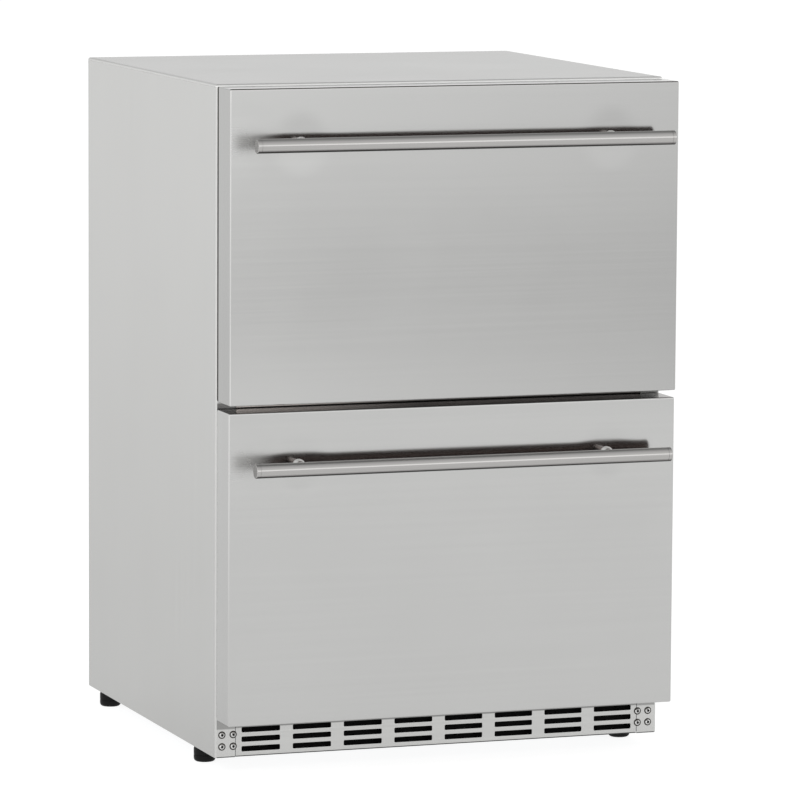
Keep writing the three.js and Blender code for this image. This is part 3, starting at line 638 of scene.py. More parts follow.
def handle(level):
    lo, hi = box(f"{level}_handle_bar")
    cy, cz = (lo.y + hi.y) / 2, (lo.z + hi.z) / 2
    R = (hi.z - lo.z) / 2
    half = hi.x
    prof = [(0, -half), (R - 0.9 * MM, -half)]
    for i in range(1, 5):
        a = math.radians(90 * i / 4)
        prof.append((R - 0.9 * MM + 0.9 * MM * math.sin(a), -half + 0.9 * MM - 0.9 * MM * math.cos(a)))
    prof += [(R, -half + 4.75 * MM), (R - 0.35 * MM, -half + 4.85 * MM), (R - 0.35 * MM, -half + 5.15 * MM), (R, -half + 5.25 * MM)]
    prof += [(R, -half * 0.5)]
    prof = prof + [(R, 0)] + [(r, -x) for r, x in reversed(prof)]
    bm = lathe(prof, 72, "x", (0, cy, cz))
    put(f"{level}_bar", bm, "bar", f"{level}_handle_bar", angle=30)

    face = box(f"{level}_front_panel")[0].y
    reach = face - cy
    for word in ("left", "right"):
        node = f"{level}_handle_post_{word}"
        plo, phi = box(node)
        cx = (plo.x + phi.x) / 2
        root = (phi.x - plo.x) / 2 / MM
        prof = [(0, -1.0), (root - 0.3, -1.0), (root, -0.7), (root, 1.1), (root - 0.25, 1.5)]
        for i in range(1, 8):
            u = i / 8
            prof.append((5.5 + (root - 5.75) * (1 - math.sin(u * math.pi / 2)), 1.5 + 4.5 * u))
        prof += [(5.5, 6.0), (5.5, reach / MM - 1.0), (0, reach / MM - 1.0)]
        prof = [(r * MM, h * MM) for r, h in prof]
        bm = lathe(prof, 56, "-y", (cx, face, cz))
        # the end is shaped to sit on the round bar
        for v in bm.verts:
            dz = v.co.z - cz
            lim = cy + math.sqrt(max((R + 0.02 * MM) ** 2 - dz * dz, 0))
            if v.co.y < lim:
                v.co.y = lim
        bmesh.ops.remove_doubles(bm, verts=bm.verts, dist=1e-6)
        # painted shade: the part of the post away from the door takes the dark shank copy of the steel; the root keeps
        # the bright copy, painted highlight
        for f in bm.faces:
            if f.calc_center_median().y < face - 5.0 * MM:
                f.material_index = 1
        put(f"{level}_post_{word}", bm, ["post", "shank"], node, angle=50)


# ------------------------------------------------------------------ cabinet skin
def cabinet():
    lo = Vector((box("side_panel_left")[0].x, box("side_panel_left")[0].y, box("side_panel_left")[0].z))
    hi = Vector((box("side_panel_right")[1].x, box("rear_panel")[1].y, box("top_panel")[1].z))
    fx = 272 * MM
    topz = box("top_panel")[0].z
    seam_z = box("side_panel_left")[1].z
    seam_y = box("side_panel_left")[1].y

    def shell():
        bm = round_cube((lo.x, lo.y, lo.z - 0.03), hi, 3.0 * MM, 5)
        for co, no in (((0, 0, lo.z), (0, 0, 1)), ((0, 0, seam_z), (0, 0, 1)), ((0, 0, seam_z + 0.1 * MM), (0, 0, 1)),
                       ((0, seam_y, 0), (0, 1, 0)), ((0, seam_y + 0.3 * MM, 0), (0, 1, 0)),
                       ((-fx, 0, 0), (1, 0, 0)), ((fx, 0, 0), (1, 0, 0)), ((-fx + 0.3 * MM, 0, 0), (1, 0, 0)), ((fx - 0.3 * MM, 0, 0), (1, 0, 0)),
                       ((0, 0, topz + 0.0001 * MM), (0, 0, 1))):
            cut(bm, co, no)
        return bm

    for s, word in ((-1, "left"), (1, "right")):
        bm = shell()
        keep(bm, lambda c: c.z > lo.z and c.z < seam_z and c.y < seam_y and s * c.x > fx)
        for f in bm.faces:
            f.normal_update()
            if f.normal.y < -0.97:
                f.material_index = 2
            elif f.normal.y < -0.2:
                f.material_index = 1
            # top bends of the side panels take a brighter copy of the steel, painted highlight
            elif f.normal.z > 0.05:
                f.material_index = 3
        put(f"side_{word}", bm, ["side", "bend", "flange", "crease"], f"side_panel_{word}", solid=1.0 * MM)
    bm = shell()
    keep(bm, lambda c: c.y < seam_y and (c.z > seam_z + 0.1 * MM or (c.y < lo.y + 0.0005 and abs(c.x) < fx - 0.3 * MM and c.z > topz)))
    for f in bm.faces:
        f.normal_update()
        # the front bend takes a brighter copy of the steel and the side bends another, both painted highlight
        if f.normal.y < -0.1:
            f.material_index = 1
        elif abs(f.normal.x) > 0.02:
            f.material_index = 2
    put("top_skin", bm, ["top", "brow", "crease"], "top_panel", solid=1.0 * MM)


def toe():
    lo, hi = box("toe_grille")
    cx = [s * x * MM for x in (34, 102, 170, 238) for s in (-1, 1)]
    cz = [z * MM for z in (54.3, 42.2, 30.0)]
    outlines = [[(lo.x, lo.z), (hi.x, lo.z), (hi.x, hi.z), (lo.x, hi.z)]]
    # notches round the inner screws
    def side(sgn):
        pts = []
        b = box("bracket_screw_3" if sgn < 0 else "bracket_screw_7")
        c = (b[0].x + b[1].x) / 2
        for z in (34.0, 49.0) if sgn > 0 else (49.0, 34.0):
            R = 4.2 * MM
            e = abs(hi.x)
            a = math.acos((abs(c) - e) / R)
            steps = 10
            for i in range(steps + 1):
                u = -a + 2 * a * i / steps
                x = c - sgn * R * math.cos(u)
                zz = z * MM + R * math.sin(u) * (1 if sgn > 0 else -1)
                pts.append((x, zz))
        return pts
    outer = [(lo.x, lo.z), (hi.x, lo.z)] + side(1) + [(hi.x, hi.z), (lo.x, hi.z)] + side(-1)
    outlines = [outer] + [slot_outline(x, z, 51 * MM, 6.8 * MM, 1.5 * MM) for x in cx for z in cz]
    bm = plate(outlines, lo.y, lo.y + 1.2 * MM, 0.15 * MM)
    for z0, z1 in ((hi.z - 1.2 * MM, hi.z), (lo.z, lo.z + 1.2 * MM)):
        join(bm, round_cube((lo.x, lo.y + 0.6 * MM, z0), (hi.x, hi.y, z1), 0.3 * MM, 2))
    put("toe_plate", bm, "toe", "toe_grille", angle=30)

    # painted shade: a near-black ribbed sheet behind the slots, standing in for the shade inside the machine bay
    fl, fh = box("toe_grille")
    mesh_w = 0.286
    shade_sheet = plate([[(-mesh_w, fl.z + 3 * MM), (mesh_w, fl.z + 3 * MM), (mesh_w, fh.z - 3 * MM), (-mesh_w, fh.z - 3 * MM)]],
                 fl.y + 13.0 * MM, fl.y + 14.0 * MM, 0.2 * MM)
    for k in range(-10, 11):
        join(shade_sheet, round_cube((k * 0.0275 - 0.8 * MM, fl.y + 12.3 * MM, fl.z + 4 * MM), (k * 0.0275 + 0.8 * MM, fl.y + 13.3 * MM, fh.z - 4 * MM), 0.3 * MM, 2))
    put("toe_slot_shade", shade_sheet, "filter", body="cabinet", angle=30)

    for i in range(1, 9):
        node = f"bracket_screw_{i}"
        slo, shi = box(node)
        x, z = (slo.x + shi.x) / 2, (slo.z + shi.z) / 2
        y = box("toe_grille")[0].y
        # shank, a dark washer ring under the head that stands in for the shade round it (painted shade), then a domed
        # head with a socket
        prof = [(0, -7), (1.2, -7), (1.6, -6), (1.6, 0.06), (4.6, 0.06), (4.8, 0.2), (4.7, 0.42), (3.55, 0.46), (3.55, 0.5)]
        for k in range(0, 9):
            a = math.radians(8 + 80 * k / 8)
            prof.append((3.58 * math.cos(a), 0.30 + 1.67 * math.sin(a)))
        prof = [p for k, p in enumerate(prof) if k < 9 or p[0] > 2.05]
        prof += [(2.0, 1.84), (1.86, 1.74), (1.75, 0.7), (0, 0.55)]
        prof = [(r * MM, h * MM) for r, h in prof]
        bm = lathe(prof, 40, "-y", (x, y, z))
        # painted shade: the socket takes the near-black recess colour and the ring under the head the dark rubber
        # colour
        for f in bm.faces:
            c = f.calc_center_median()
            r, h = math.hypot(c.x - x, c.z - z), y - c.y
            if r < 1.92 * MM and h > 0.3 * MM:
                f.material_index = 1
            elif h < 0.465 * MM and r > 1.7 * MM:
                f.material_index = 2
        # six lobes of the driver socket
        for v in bm.verts:
            dx, dz = v.co.x - x, v.co.z - z
            r = math.hypot(dx, dz)
            if 1.7 * MM < r < 1.9 * MM and v.co.y < y - 0.2 * MM:
                k = 1 - 0.13 * (0.5 - 0.5 * math.cos(6 * math.atan2(dz, dx)))
                v.co.x, v.co.z = x + dx * k, z + dz * k
        put(f"screw_{i}", bm, ["screw", "recess", "gasket"], node, angle=40, weighted=False)


def feet():
    for w in ("front_left", "front_right", "rear_left", "rear_right"):
        node = f"foot_{w}"
        lo, hi = box(node)
        x, y = (lo.x + hi.x) / 2, (lo.y + hi.y) / 2
        prof = [(0, 0), (10.0, 0)]
        for k in range(0, 8):
            a = math.radians(90 * k / 7)
            prof.append((10.2 + 3.8 * math.sin(a), 4.6 - 4.6 * math.cos(a)))
        prof += [(14.0, 8), (13.6, 8.4), (13.6, 9.0), (14.0, 9.4), (14.0, 16.6), (13.7, 17.6), (12.9, 19.0), (12.4, 19.5), (12, 19.6), (4.75, 19.6)]
        z = 20.5
        while z < 48.5:
            prof += [(4.75, z), (4.35, z + 0.45), (4.35, z + 0.7), (4.75, z + 1.15)]
            z += 1.5
        prof += [(4.75, 49), (4.1, 50), (0, 50)]
        bm = lathe([(r * MM, h * MM) for r, h in prof], 44, "z", (x, y, 0))
        put(f"leveller_{w}", bm, "black", node, angle=40, weighted=False)


# ------------------------------------------------------------------ sheet and moulding helpers
def thick(bm, t, offset=-1.0):
    """Gives an open sheet its thickness and returns it as a closed mesh."""
    me = bpy.data.meshes.new("tmp")
    bmesh.ops.recalc_face_normals(bm, faces=bm.faces)
    bm.to_mesh(me)
    bm.free()
    o = bpy.data.objects.new("tmp", me)
    SCENE.collection.objects.link(o)
    md = o.modifiers.new("sheet", "SOLIDIFY")
    md.thickness = t
    md.offset = offset
    md.use_even_offset = True
    bpy.context.view_layer.update()
    res = bpy.data.meshes.new_from_object(o.evaluated_get(bpy.context.evaluated_depsgraph_get()))
    bpy.data.objects.remove(o)
    out = bmesh.new()
    out.from_mesh(res)
    bpy.data.meshes.remove(res)
    bpy.data.meshes.remove(me)
    return out


def round_rect(x0, x1, z0, z1, r, seg=5):
    return slot_outline((x0 + x1) / 2, (z0 + z1) / 2, x1 - x0, z1 - z0, r, seg)


def rings(rows, closed=False, cap0=False, cap1=False):
    """Joins rows of points of equal length into a skin; every row is a closed loop."""
    bm = bmesh.new()
    vs = [[bm.verts.new(p) for p in row] for row in rows]
    pairs = list(zip(vs, vs[1:])) + ([(vs[-1], vs[0])] if closed else [])
    for a, b in pairs:
        for i in range(len(a)):
            j = (i + 1) % len(a)
            bm.faces.new((a[i], a[j], b[j], b[i]))
    if cap0:
        bm.faces.new(list(reversed(vs[0])))
    if cap1:
        bm.faces.new(vs[-1])
    return bm


def bar_along(section, axis, a, b):
    """A closed section [(u, v)] pushed along an axis from a to b. x: (y, z), y: (x, z), z: (x, y)."""
    place = {"x": lambda u, v, w: (w, u, v), "y": lambda u, v, w: (u, w, v), "z": lambda u, v, w: (u, v, w)}[axis]
    return rings([[place(u, v, a) for u, v in section], [place(u, v, b) for u, v in section]], cap0=True, cap1=True)


def tube(path, r, seg=10, cap=True):
    """A round tube along a list of points."""
    rows = []
    pts = [Vector(p) for p in path]
    up = None
    for i, p in enumerate(pts):
        d = (pts[min(i + 1, len(pts) - 1)] - pts[max(i - 1, 0)]).normalized()
        if up is None:
            up = Vector((0, 0, 1)) if abs(d.z) < 0.9 else Vector((1, 0, 0))
        side = d.cross(up).normalized()
        up = side.cross(d).normalized()
        rows.append([p + side * (r * math.cos(2 * math.pi * k / seg)) + up * (r * math.sin(2 * math.pi * k / seg)) for k in range(seg)])
    return rings(rows, cap0=cap, cap1=cap)


def soften(node, key, width, seg=2, angle=35):
    """A CAD node that stays: its own material and a small rounding on its folds."""
    paint_cad(node, key)
    o = NODES[node]
    md = o.modifiers.new("fold", "BEVEL")
    md.width = width
    md.segments = seg
    md.limit_method = "ANGLE"
    md.angle_limit = math.radians(angle)
    md.harden_normals = False
    w = o.modifiers.new("normals", "WEIGHTED_NORMAL")
    w.keep_sharp = True


# ------------------------------------------------------------------ bins
def bin_pan(level):
    lo, hi = box(f"{level}_bin")
    rim = 6 * MM
    t = 1.2 * MM
    x0, x1, y0, y1 = lo.x + rim, hi.x - rim, lo.y, hi.y - rim
    rc = 14 * MM

    def loop(inset, z, r, grow=0.0):
        r = max(r, 0.4 * MM)
        pts = []
        ax0, ax1 = x0 + inset - grow, x1 - inset + grow
        ay0, ay1 = y0 + max(inset, 0), y1 - inset + grow
        for cx, cy, a0 in ((ax1 - r, ay1 - r, 0), (ax0 + r, ay1 - r, 90), (ax0 + r, ay0 + r, 180), (ax1 - r, ay0 + r, 270)):
            for i in range(7):
                a = math.radians(a0 + 90 * i / 6)
                pts.append((cx + r * math.cos(a), cy + r * math.sin(a), z))
        return pts
    rows = []
    rb = 7 * MM
    for i in range(6):                                     # outside, from the floor up through its bend
        a = math.radians(90 * i / 5)
        rows.append(loop(rb * (1 - math.sin(a)), lo.z + rb * (1 - math.cos(a)), rc - rb * (1 - math.sin(a))))
    rows.append(loop(0, hi.z - 3.2 * MM, rc))
    for i in range(1, 5):                                  # turned out into the rim
        a = math.radians(90 * i / 4)
        rows.append(loop(0, hi.z - 3.2 * MM + 2.0 * MM * math.sin(a), rc, 2.0 * MM * (1 - math.cos(a))))
    g = rim
    rows.append(loop(0, hi.z - t, rc, g - 0.5 * MM))
    for a in (40, 90, 140):
        rr = math.radians(a)
        rows.append(loop(0, hi.z - t / 2 - t / 2 * math.cos(rr), rc, g - 0.5 * MM + 0.5 * MM * math.sin(rr)))
    rows.append(loop(0, hi.z, rc, g - 0.5 * MM))
    rows.append(loop(0, hi.z, rc, 2.0 * MM))
    for i in range(1, 5):                                  # over the top bend and down inside
        a = math.radians(90 * i / 4)
        rows.append(loop(t * math.sin(a), hi.z - 3.2 * MM * (1 - math.cos(a)), rc - t * math.sin(a), 2.0 * MM * (1 - math.sin(a))))
    ri = rb - t
    for i in range(6):
        a = math.radians(90 * i / 5)
        rows.append(loop(t + ri * (1 - math.cos(a)), lo.z + t + ri * (1 - math.sin(a)), rc - t - ri * (1 - math.cos(a))))
    bm = rings(rows, cap0=True, cap1=True)
    put(f"{level}_bin_pan", bm, "bin", f"{level}_bin", angle=40)


# ------------------------------------------------------------------ liner and mullion
def liner():
    lo, hi = box("inner_liner")
    y_in, t = lo.y, 2 * MM
    cx = 0.248
    deep = y_in + 0.505
    step_y, step_z = y_in + 0.338, 0.255
    z0, z1 = 0.102, 0.815
    front = y_in + 1.2 * MM
    prof = [(front, z0), (step_y, z0), (step_y, step_z), (deep, step_z), (deep, z1), (front, z1)]
    bm = bmesh.new()
    a = [bm.verts.new((-cx, y, z)) for y, z in prof]
    b = [bm.verts.new((cx, y, z)) for y, z in prof]
    n = len(prof)
    for i in range(n):
        j = (i + 1) % n
        bm.faces.new((a[i], a[j], b[j], b[i]))
    bm.faces.new(list(reversed(a)))
    bm.faces.new(b)
    def on_step(e):
        return all(abs(v.co.y - step_y) < 1e-6 for v in e.verts) or all(abs(v.co.z - step_z) < 1e-6 for v in e.verts)

    nose = [e for e in bm.edges if all(abs(v.co.y - step_y) < 1e-6 and abs(v.co.z - step_z) < 1e-6 for v in e.verts)]
    bmesh.ops.bevel(bm, geom=nose, offset=5 * MM, segments=4, profile=0.5, affect="EDGES", clamp_overlap=True)
    edges = [e for e in bm.edges if not all(abs(v.co.y - front) < 1e-6 for v in e.verts) and not on_step(e)
             and len(e.link_faces) == 2 and e.calc_face_angle(0) > 1.2]
    bmesh.ops.bevel(bm, geom=edges, offset=12 * MM, segments=5, profile=0.5, affect="EDGES", clamp_overlap=True)
    keep(bm, lambda c: c.y > front + 1e-5)
    for f in bm.faces:
        f.normal_flip()
    me = thick(bm, t, 1.0)
    m0, m1 = 0.4397, 0.4933
    lx = hi.x
    for sgn, za, zb, zc in ((1, m1, hi.z, z1), (-1, m0, lo.z, z0)):
        r = 12 * MM
        lx2, zo = 0.2717, (0.8407 if sgn > 0 else 0.0983)
        out = [(-lx2, za), (-lx2, zo), (lx2, zo), (lx2, za), (cx, za)]
        c = []
        for k in range(6):
            u = math.radians(90 * k / 5)
            c.append((cx - r + r * math.cos(u), zc - sgn * r + sgn * r * math.sin(u)))
        out += c + [(-x, z) for x, z in reversed(c)] + [(-cx, za)]
        join(me, plate([out], y_in, y_in + 2 * MM, 0.3 * MM))
    put("liner_shell", me, "liner", "inner_liner", angle=40)


def mullion():
    lo, hi = box("center_mullion")
    w, t = 0.2477, 1.5 * MM
    yb = lo.y + 0.045
    out = []
    r = 4 * MM
    z0, z1 = lo.z, hi.z

    def arc(cy, cz, rad, a0, a1, n=5):
        return [(cy + rad * math.cos(math.radians(a0 + (a1 - a0) * i / n)), cz + rad * math.sin(math.radians(a0 + (a1 - a0) * i / n))) for i in range(n + 1)]
    sec = [(yb, z1)] + arc(lo.y + r, z1 - r, r, 90, 180) + arc(lo.y + r, z0 + r, r, 180, 270) + [(yb, z0), (yb, z0 + t)]
    sec += arc(lo.y + r, z0 + r, r - t, 270, 180) + arc(lo.y + r, z1 - r, r - t, 180, 90) + [(yb, z1 - t)]
    bm = bar_along(sec, "x", -w, w)
    for s in (-1, 1):
        a, b = sorted((s * (w - 0.4 * MM), s * (hi.x)))
        join(bm, round_cube((a, lo.y, z0 + 0.2 * MM), (b, lo.y + t, z1 - 0.2 * MM), 0.5 * MM, 2))
    put("mullion_channel", bm, "mullion", "center_mullion", angle=35)


# ------------------------------------------------------------------ slides
def slide(node, outward):
    """Rolled C section: a punched web and two turned lips."""
    lo, hi = box(node)
    s = 1 if hi.x > 0 else -1
    t = 1.3 * MM
    r = 2.6 * MM
    xw = (max(abs(lo.x), abs(hi.x)) if outward else min(abs(lo.x), abs(hi.x)))
    xl = (min(abs(lo.x), abs(hi.x)) if outward else max(abs(lo.x), abs(hi.x)))
    d = 1 if xl > xw else -1
    zc, h = (lo.z + hi.z) / 2, (hi.z - lo.z) / 2
    holes = []
    y0, y1 = lo.y, hi.y
    for k, yy in enumerate((0.06, 0.17, 0.30, 0.42, 0.56, 0.70, 0.83, 0.94)):
        cy = y0 + (y1 - y0) * yy
        holes.append(slot_outline(cy, zc, 14 * MM if k % 2 else 5 * MM, 5 * MM, 2.4 * MM, 4))
    web = plate([[(y0, zc - h + r), (y1, zc - h + r), (y1, zc + h - r), (y0, zc + h - r)]] + holes, 0, t, 0.0)
    for v in web.verts:
        yy, dd, zz = v.co.x, v.co.y, v.co.z
        v.co = Vector((s * (xw + d * dd), yy, zz))
    for q in (-1, 1):
        sec = []
        for i in range(6):
            a = math.radians(90 * i / 5)
            sec.append((xw + d * (r - r * math.cos(a)), zc + q * (h - r + r * math.sin(a))))
        sec += [(xl - d * 0.3 * MM, zc + q * h), (xl, zc + q * (h - 0.3 * MM)), (xl, zc + q * (h - t + 0.3 * MM)), (xl - d * 0.3 * MM, zc + q * (h - t))]
        ri = r - t
        for i in range(6):
            a = math.radians(90 - 90 * i / 5)
            sec.append((xw + d * (r - ri * math.cos(a)), zc + q * (h - r + ri * math.sin(a))))
        join(web, bar_along([(s * x, z) for x, z in sec], "y", y0, y1))
    # the faces where web and lips meet are dropped and their corners welded, so the rail is one closed sheet
    seam = [f for f in web.faces if any(all(abs(v.co.z - zc - q * (h - r)) < 1e-6 for v in f.verts) for q in (-1, 1))]
    bmesh.ops.delete(web, geom=seam, context="FACES_ONLY")
    bmesh.ops.remove_doubles(web, verts=web.verts, dist=2e-6)
    put(f"{node}_rail", web, "slide", node, angle=35)


# ------------------------------------------------------------------ evaporator cover, fans, coils
def ring_sector(cx, cz, r0, r1, a0, a1, n=6):
    p = [(cx + r1 * math.cos(a0 + (a1 - a0) * i / n), cz + r1 * math.sin(a0 + (a1 - a0) * i / n)) for i in range(n + 1)]
    return p + [(cx + r0 * math.cos(a1 - (a1 - a0) * i / n), cz + r0 * math.sin(a1 - (a1 - a0) * i / n)) for i in range(n + 1)]


def evap_cover():
    lo, hi = box("evaporator_cover")
    cz = 0.705
    out = [round_rect(lo.x + 3 * MM, hi.x - 3 * MM, lo.z + 3 * MM, hi.z - 3 * MM, 6 * MM)]
    for k in range(8):
        a = k * math.pi / 4
        for r0, r1, gap in ((22, 27, 0.12), (29, 34, 0.09), (36, 41, 0.075), (43, 47.5, 0.065)):
            out.append(ring_sector(0, cz, r0 * MM, r1 * MM, a + gap, a + math.pi / 4 - gap))
    for i in range(9):
        out.append(slot_outline((-192 + i * 48) * MM, 0.284, 34 * MM, 7 * MM, 3.3 * MM))
    bm = plate(out, lo.y, lo.y + 2 * MM, 0.5 * MM, 2)
    rows = []
    for inset, y in ((3.2, 0.1), (1.6, 0.5), (0.5, 1.6), (0, 3.2), (0, None), (2.0, None), (2.0, 3.6), (3.2, 2.0)):
        yy = hi.y if y is None else lo.y + y * MM
        rows.append([(x, yy, z) for x, z in round_rect(lo.x + inset * MM, hi.x - inset * MM, lo.z + inset * MM, hi.z - inset * MM, max(8 - inset, 1) * MM)])
    join(bm, rings(rows, closed=True))
    # hub that the fan motor sits in
    join(bm, lathe([(r * MM, h * MM) for r, h in ((0, 0.4), (16, 0.4), (17.6, 1.0), (18, 2.0), (18, 11.2), (17.5, 12), (0, 12))], 40, "y", (0, lo.y, cz)))
    put("evaporator_cover_moulding", bm, "cover", "evaporator_cover", angle=40)


def fan_rotor(node, blades, key="fan"):
    lo, hi = box(node)
    c = (lo + hi) / 2
    depth = hi.y - lo.y
    R = (hi.z - lo.z) / 2
    hub = 20 * MM if R > 50 * MM else 16 * MM
    bm = lathe([(0, 0), (hub * 0.82, 0), (hub * 0.95, depth * 0.08), (hub, depth * 0.2), (hub, depth * 0.96), (hub * 0.97, depth), (hub * 0.3, depth), (hub * 0.26, depth * 0.9), (0, depth * 0.9)], 40, "y", (c.x, lo.y, c.z))
    tip = R * 0.93
    for k in range(blades):
        a0 = 2 * math.pi * k / blades
        g = bmesh.new()
        nu, nv = 8, 6
        grid = []
        for i in range(nu + 1):
            u = i / nu
            r = hub * 0.94 + (tip - hub * 0.94) * u
            span = math.radians(44 + 12 * u)
            pitch = math.radians(40 - 20 * u)
            row = []
            for j in range(nv + 1):
                v = j / nv - 0.5
                ang = a0 + v * span + 0.28 * u
                y = c.y + v * min(span * r * math.tan(pitch), depth * 0.74) + 0.9 * MM * math.cos(v * math.pi)
                row.append(g.verts.new((c.x + r * math.cos(ang), y, c.z + r * math.sin(ang))))
            grid.append(row)
        for i in range(nu):
            for j in range(nv):
                g.faces.new((grid[i][j], grid[i + 1][j], grid[i + 1][j + 1], grid[i][j + 1]))
        join(bm, thick(g, 1.3 * MM, 0))
    put(f"{node}_moulding", bm, key, node, angle=40)


def fan_shroud():
    lo, hi = box("condenser_fan_frame")
    cx, cz = 0.135, 0.112
    y0 = lo.y
    R = 68 * MM
    circle = [(cx + R * math.cos(2 * math.pi * i / 64), cz + R * math.sin(2 * math.pi * i / 64)) for i in range(64)]
    bm = plate([round_rect(cx - 76 * MM, cx + 76 * MM, 36 * MM, 188 * MM, 8 * MM), circle], y0, y0 + 4 * MM, 0.6 * MM)
    join(bm, lathe([(R - 0.5 * MM, 0.5 * MM), (R + 2 * MM, 0.5 * MM), (R + 2 * MM, 27.4 * MM), (R + 1.4 * MM, 28 * MM), (R, 28 * MM), (R - 0.5 * MM, 27.4 * MM), (R - 0.5 * MM, 0.5 * MM)], 64, "y", (cx, y0, cz)))
    join(bm, lathe([(0, 21 * MM), (20 * MM, 21 * MM), (21.5 * MM, 22 * MM), (22 * MM, 24 * MM), (22 * MM, 27.2 * MM), (21.4 * MM, 28 * MM), (0, 28 * MM)], 40, "y", (cx, y0, cz)))
    for k in range(4):
        a = math.pi / 4 + k * math.pi / 2
        m = round_cube((0.019, -3 * MM, -2.5 * MM), (0.069, 1 * MM, 2.5 * MM), 0.8 * MM, 2)
        bmesh.ops.transform(m, matrix=Matrix.Translation((cx, y0 + 26.5 * MM, cz)) @ Matrix.Rotation(-a, 4, "Y"), verts=m.verts)
        join(bm, m)
    for sx in (-60, 60):
        join(bm, round_cube((cx + (sx - 10) * MM, y0 + 4 * MM, 21.8 * MM), (cx + (sx + 10) * MM, y0 + 24 * MM, 42 * MM), 2 * MM, 3))
    put("condenser_fan_shroud", bm, "fan", "condenser_fan_frame", angle=35)


def coil(node, pitch):
    lo, hi = box(node)
    ym = (lo.y + hi.y) / 2
    n = int((hi.x - lo.x - 16 * MM) / pitch)
    x0 = lo.x + 8 * MM
    bm = bmesh.new()
    for i in range(n + 1):
        x = x0 + (hi.x - lo.x - 16 * MM) * i / n
        join(bm, cube((x - 0.2 * MM, lo.y + 0.5 * MM, lo.z + 2 * MM), (x + 0.2 * MM, hi.y - 0.5 * MM, hi.z - 2 * MM)))
    for x in (lo.x + 6 * MM, hi.x - 6 * MM):
        join(bm, round_cube((x - 0.8 * MM, lo.y, lo.z), (x + 0.8 * MM, hi.y, hi.z), 0.4 * MM, 1))
    passes = 6
    step = (hi.z - lo.z) / passes
    path = []
    for k in range(passes):
        z = lo.z + step * (k + 0.5)
        a, b = lo.x + 8 * MM, hi.x - 8 * MM
        path += [(a, ym, z), (b, ym, z)] if k % 2 == 0 else [(b, ym, z), (a, ym, z)]
        if k < passes - 1:
            e, d = (b, 1) if k % 2 == 0 else (a, -1)
            rr = min(step / 2, 100)
            for q in range(1, 8):
                u = math.radians(-90 + 180 * q / 8)
                path.append((e + d * min(7.5 * MM, rr) * math.cos(u) * 0.55, ym, z + step / 2 + rr * math.sin(u)))
    join(bm, tube(path, 3.6 * MM, 10))
    put(f"{node}_fins", bm, "coil", node, angle=40, weighted=False)


# ------------------------------------------------------------------ compressor, control, inlet
def compressor():
    lo, hi = box("compressor")
    cx, cy = -0.165, box("rear_panel")[1].y - 0.561 + 0.462
    prof = [(0, 34), (48, 34), (55, 36.5), (60, 42), (62.4, 50), (63, 58), (63, 91.5), (64, 92.3), (66, 92.8), (66, 95.6), (64.3, 96.2), (64.3, 97.2), (66, 97.8), (66, 100.6), (64, 101.4), (63, 102.5)]
    for i in range(1, 13):
        a = math.radians(90 * i / 12)
        prof.append((63 * math.cos(a) ** 0.72 if i < 12 else 0, 106 + 66 * math.sin(a)))
    bm = lathe([(r * MM, h * MM) for r, h in prof], 64, "z", (cx, cy, 0))
    join(bm, plate_xy(round_rect(cx - 82 * MM, cx + 82 * MM, cy - 46 * MM, cy + 46 * MM, 10 * MM), 32 * MM, 35 * MM))
    for sx in (-68, 68):
        for sy in (-34, 34):
            join(bm, lathe([(r * MM, h * MM) for r, h in ((0, 21.8), (9, 21.8), (10, 23), (10, 26), (7.5, 27), (7.5, 28.5), (10, 29.5), (10, 33.4), (6, 37.5), (3, 38.5), (0, 38.5))], 28, "z", (cx + sx * MM, cy + sy * MM, 0)))
    join(bm, round_cube((cx + 56 * MM, cy - 24 * MM, 74 * MM), (cx + 86 * MM, cy + 24 * MM, 126 * MM), 4 * MM, 4))
    join(bm, tube([(cx - 50 * MM, cy + 12 * MM, 116 * MM), (cx - 72 * MM, cy + 12 * MM, 116 * MM), (cx - 84 * MM, cy + 12 * MM, 116 * MM)], 5 * MM, 14))
    join(bm, tube([(cx - 50 * MM, cy - 18 * MM, 84 * MM), (cx - 68 * MM, cy - 18 * MM, 84 * MM), (cx - 80 * MM, cy - 18 * MM, 84 * MM)], 4 * MM, 14))
    put("compressor_shell", bm, "comp", "compressor", angle=35)


def plate_xy(outline, z0, z1, bevel=0.5 * MM):
    bm = plate([outline], z0, z1, bevel)
    for v in bm.verts:
        v.co = Vector((v.co.x, v.co.z, v.co.y))
    return bm


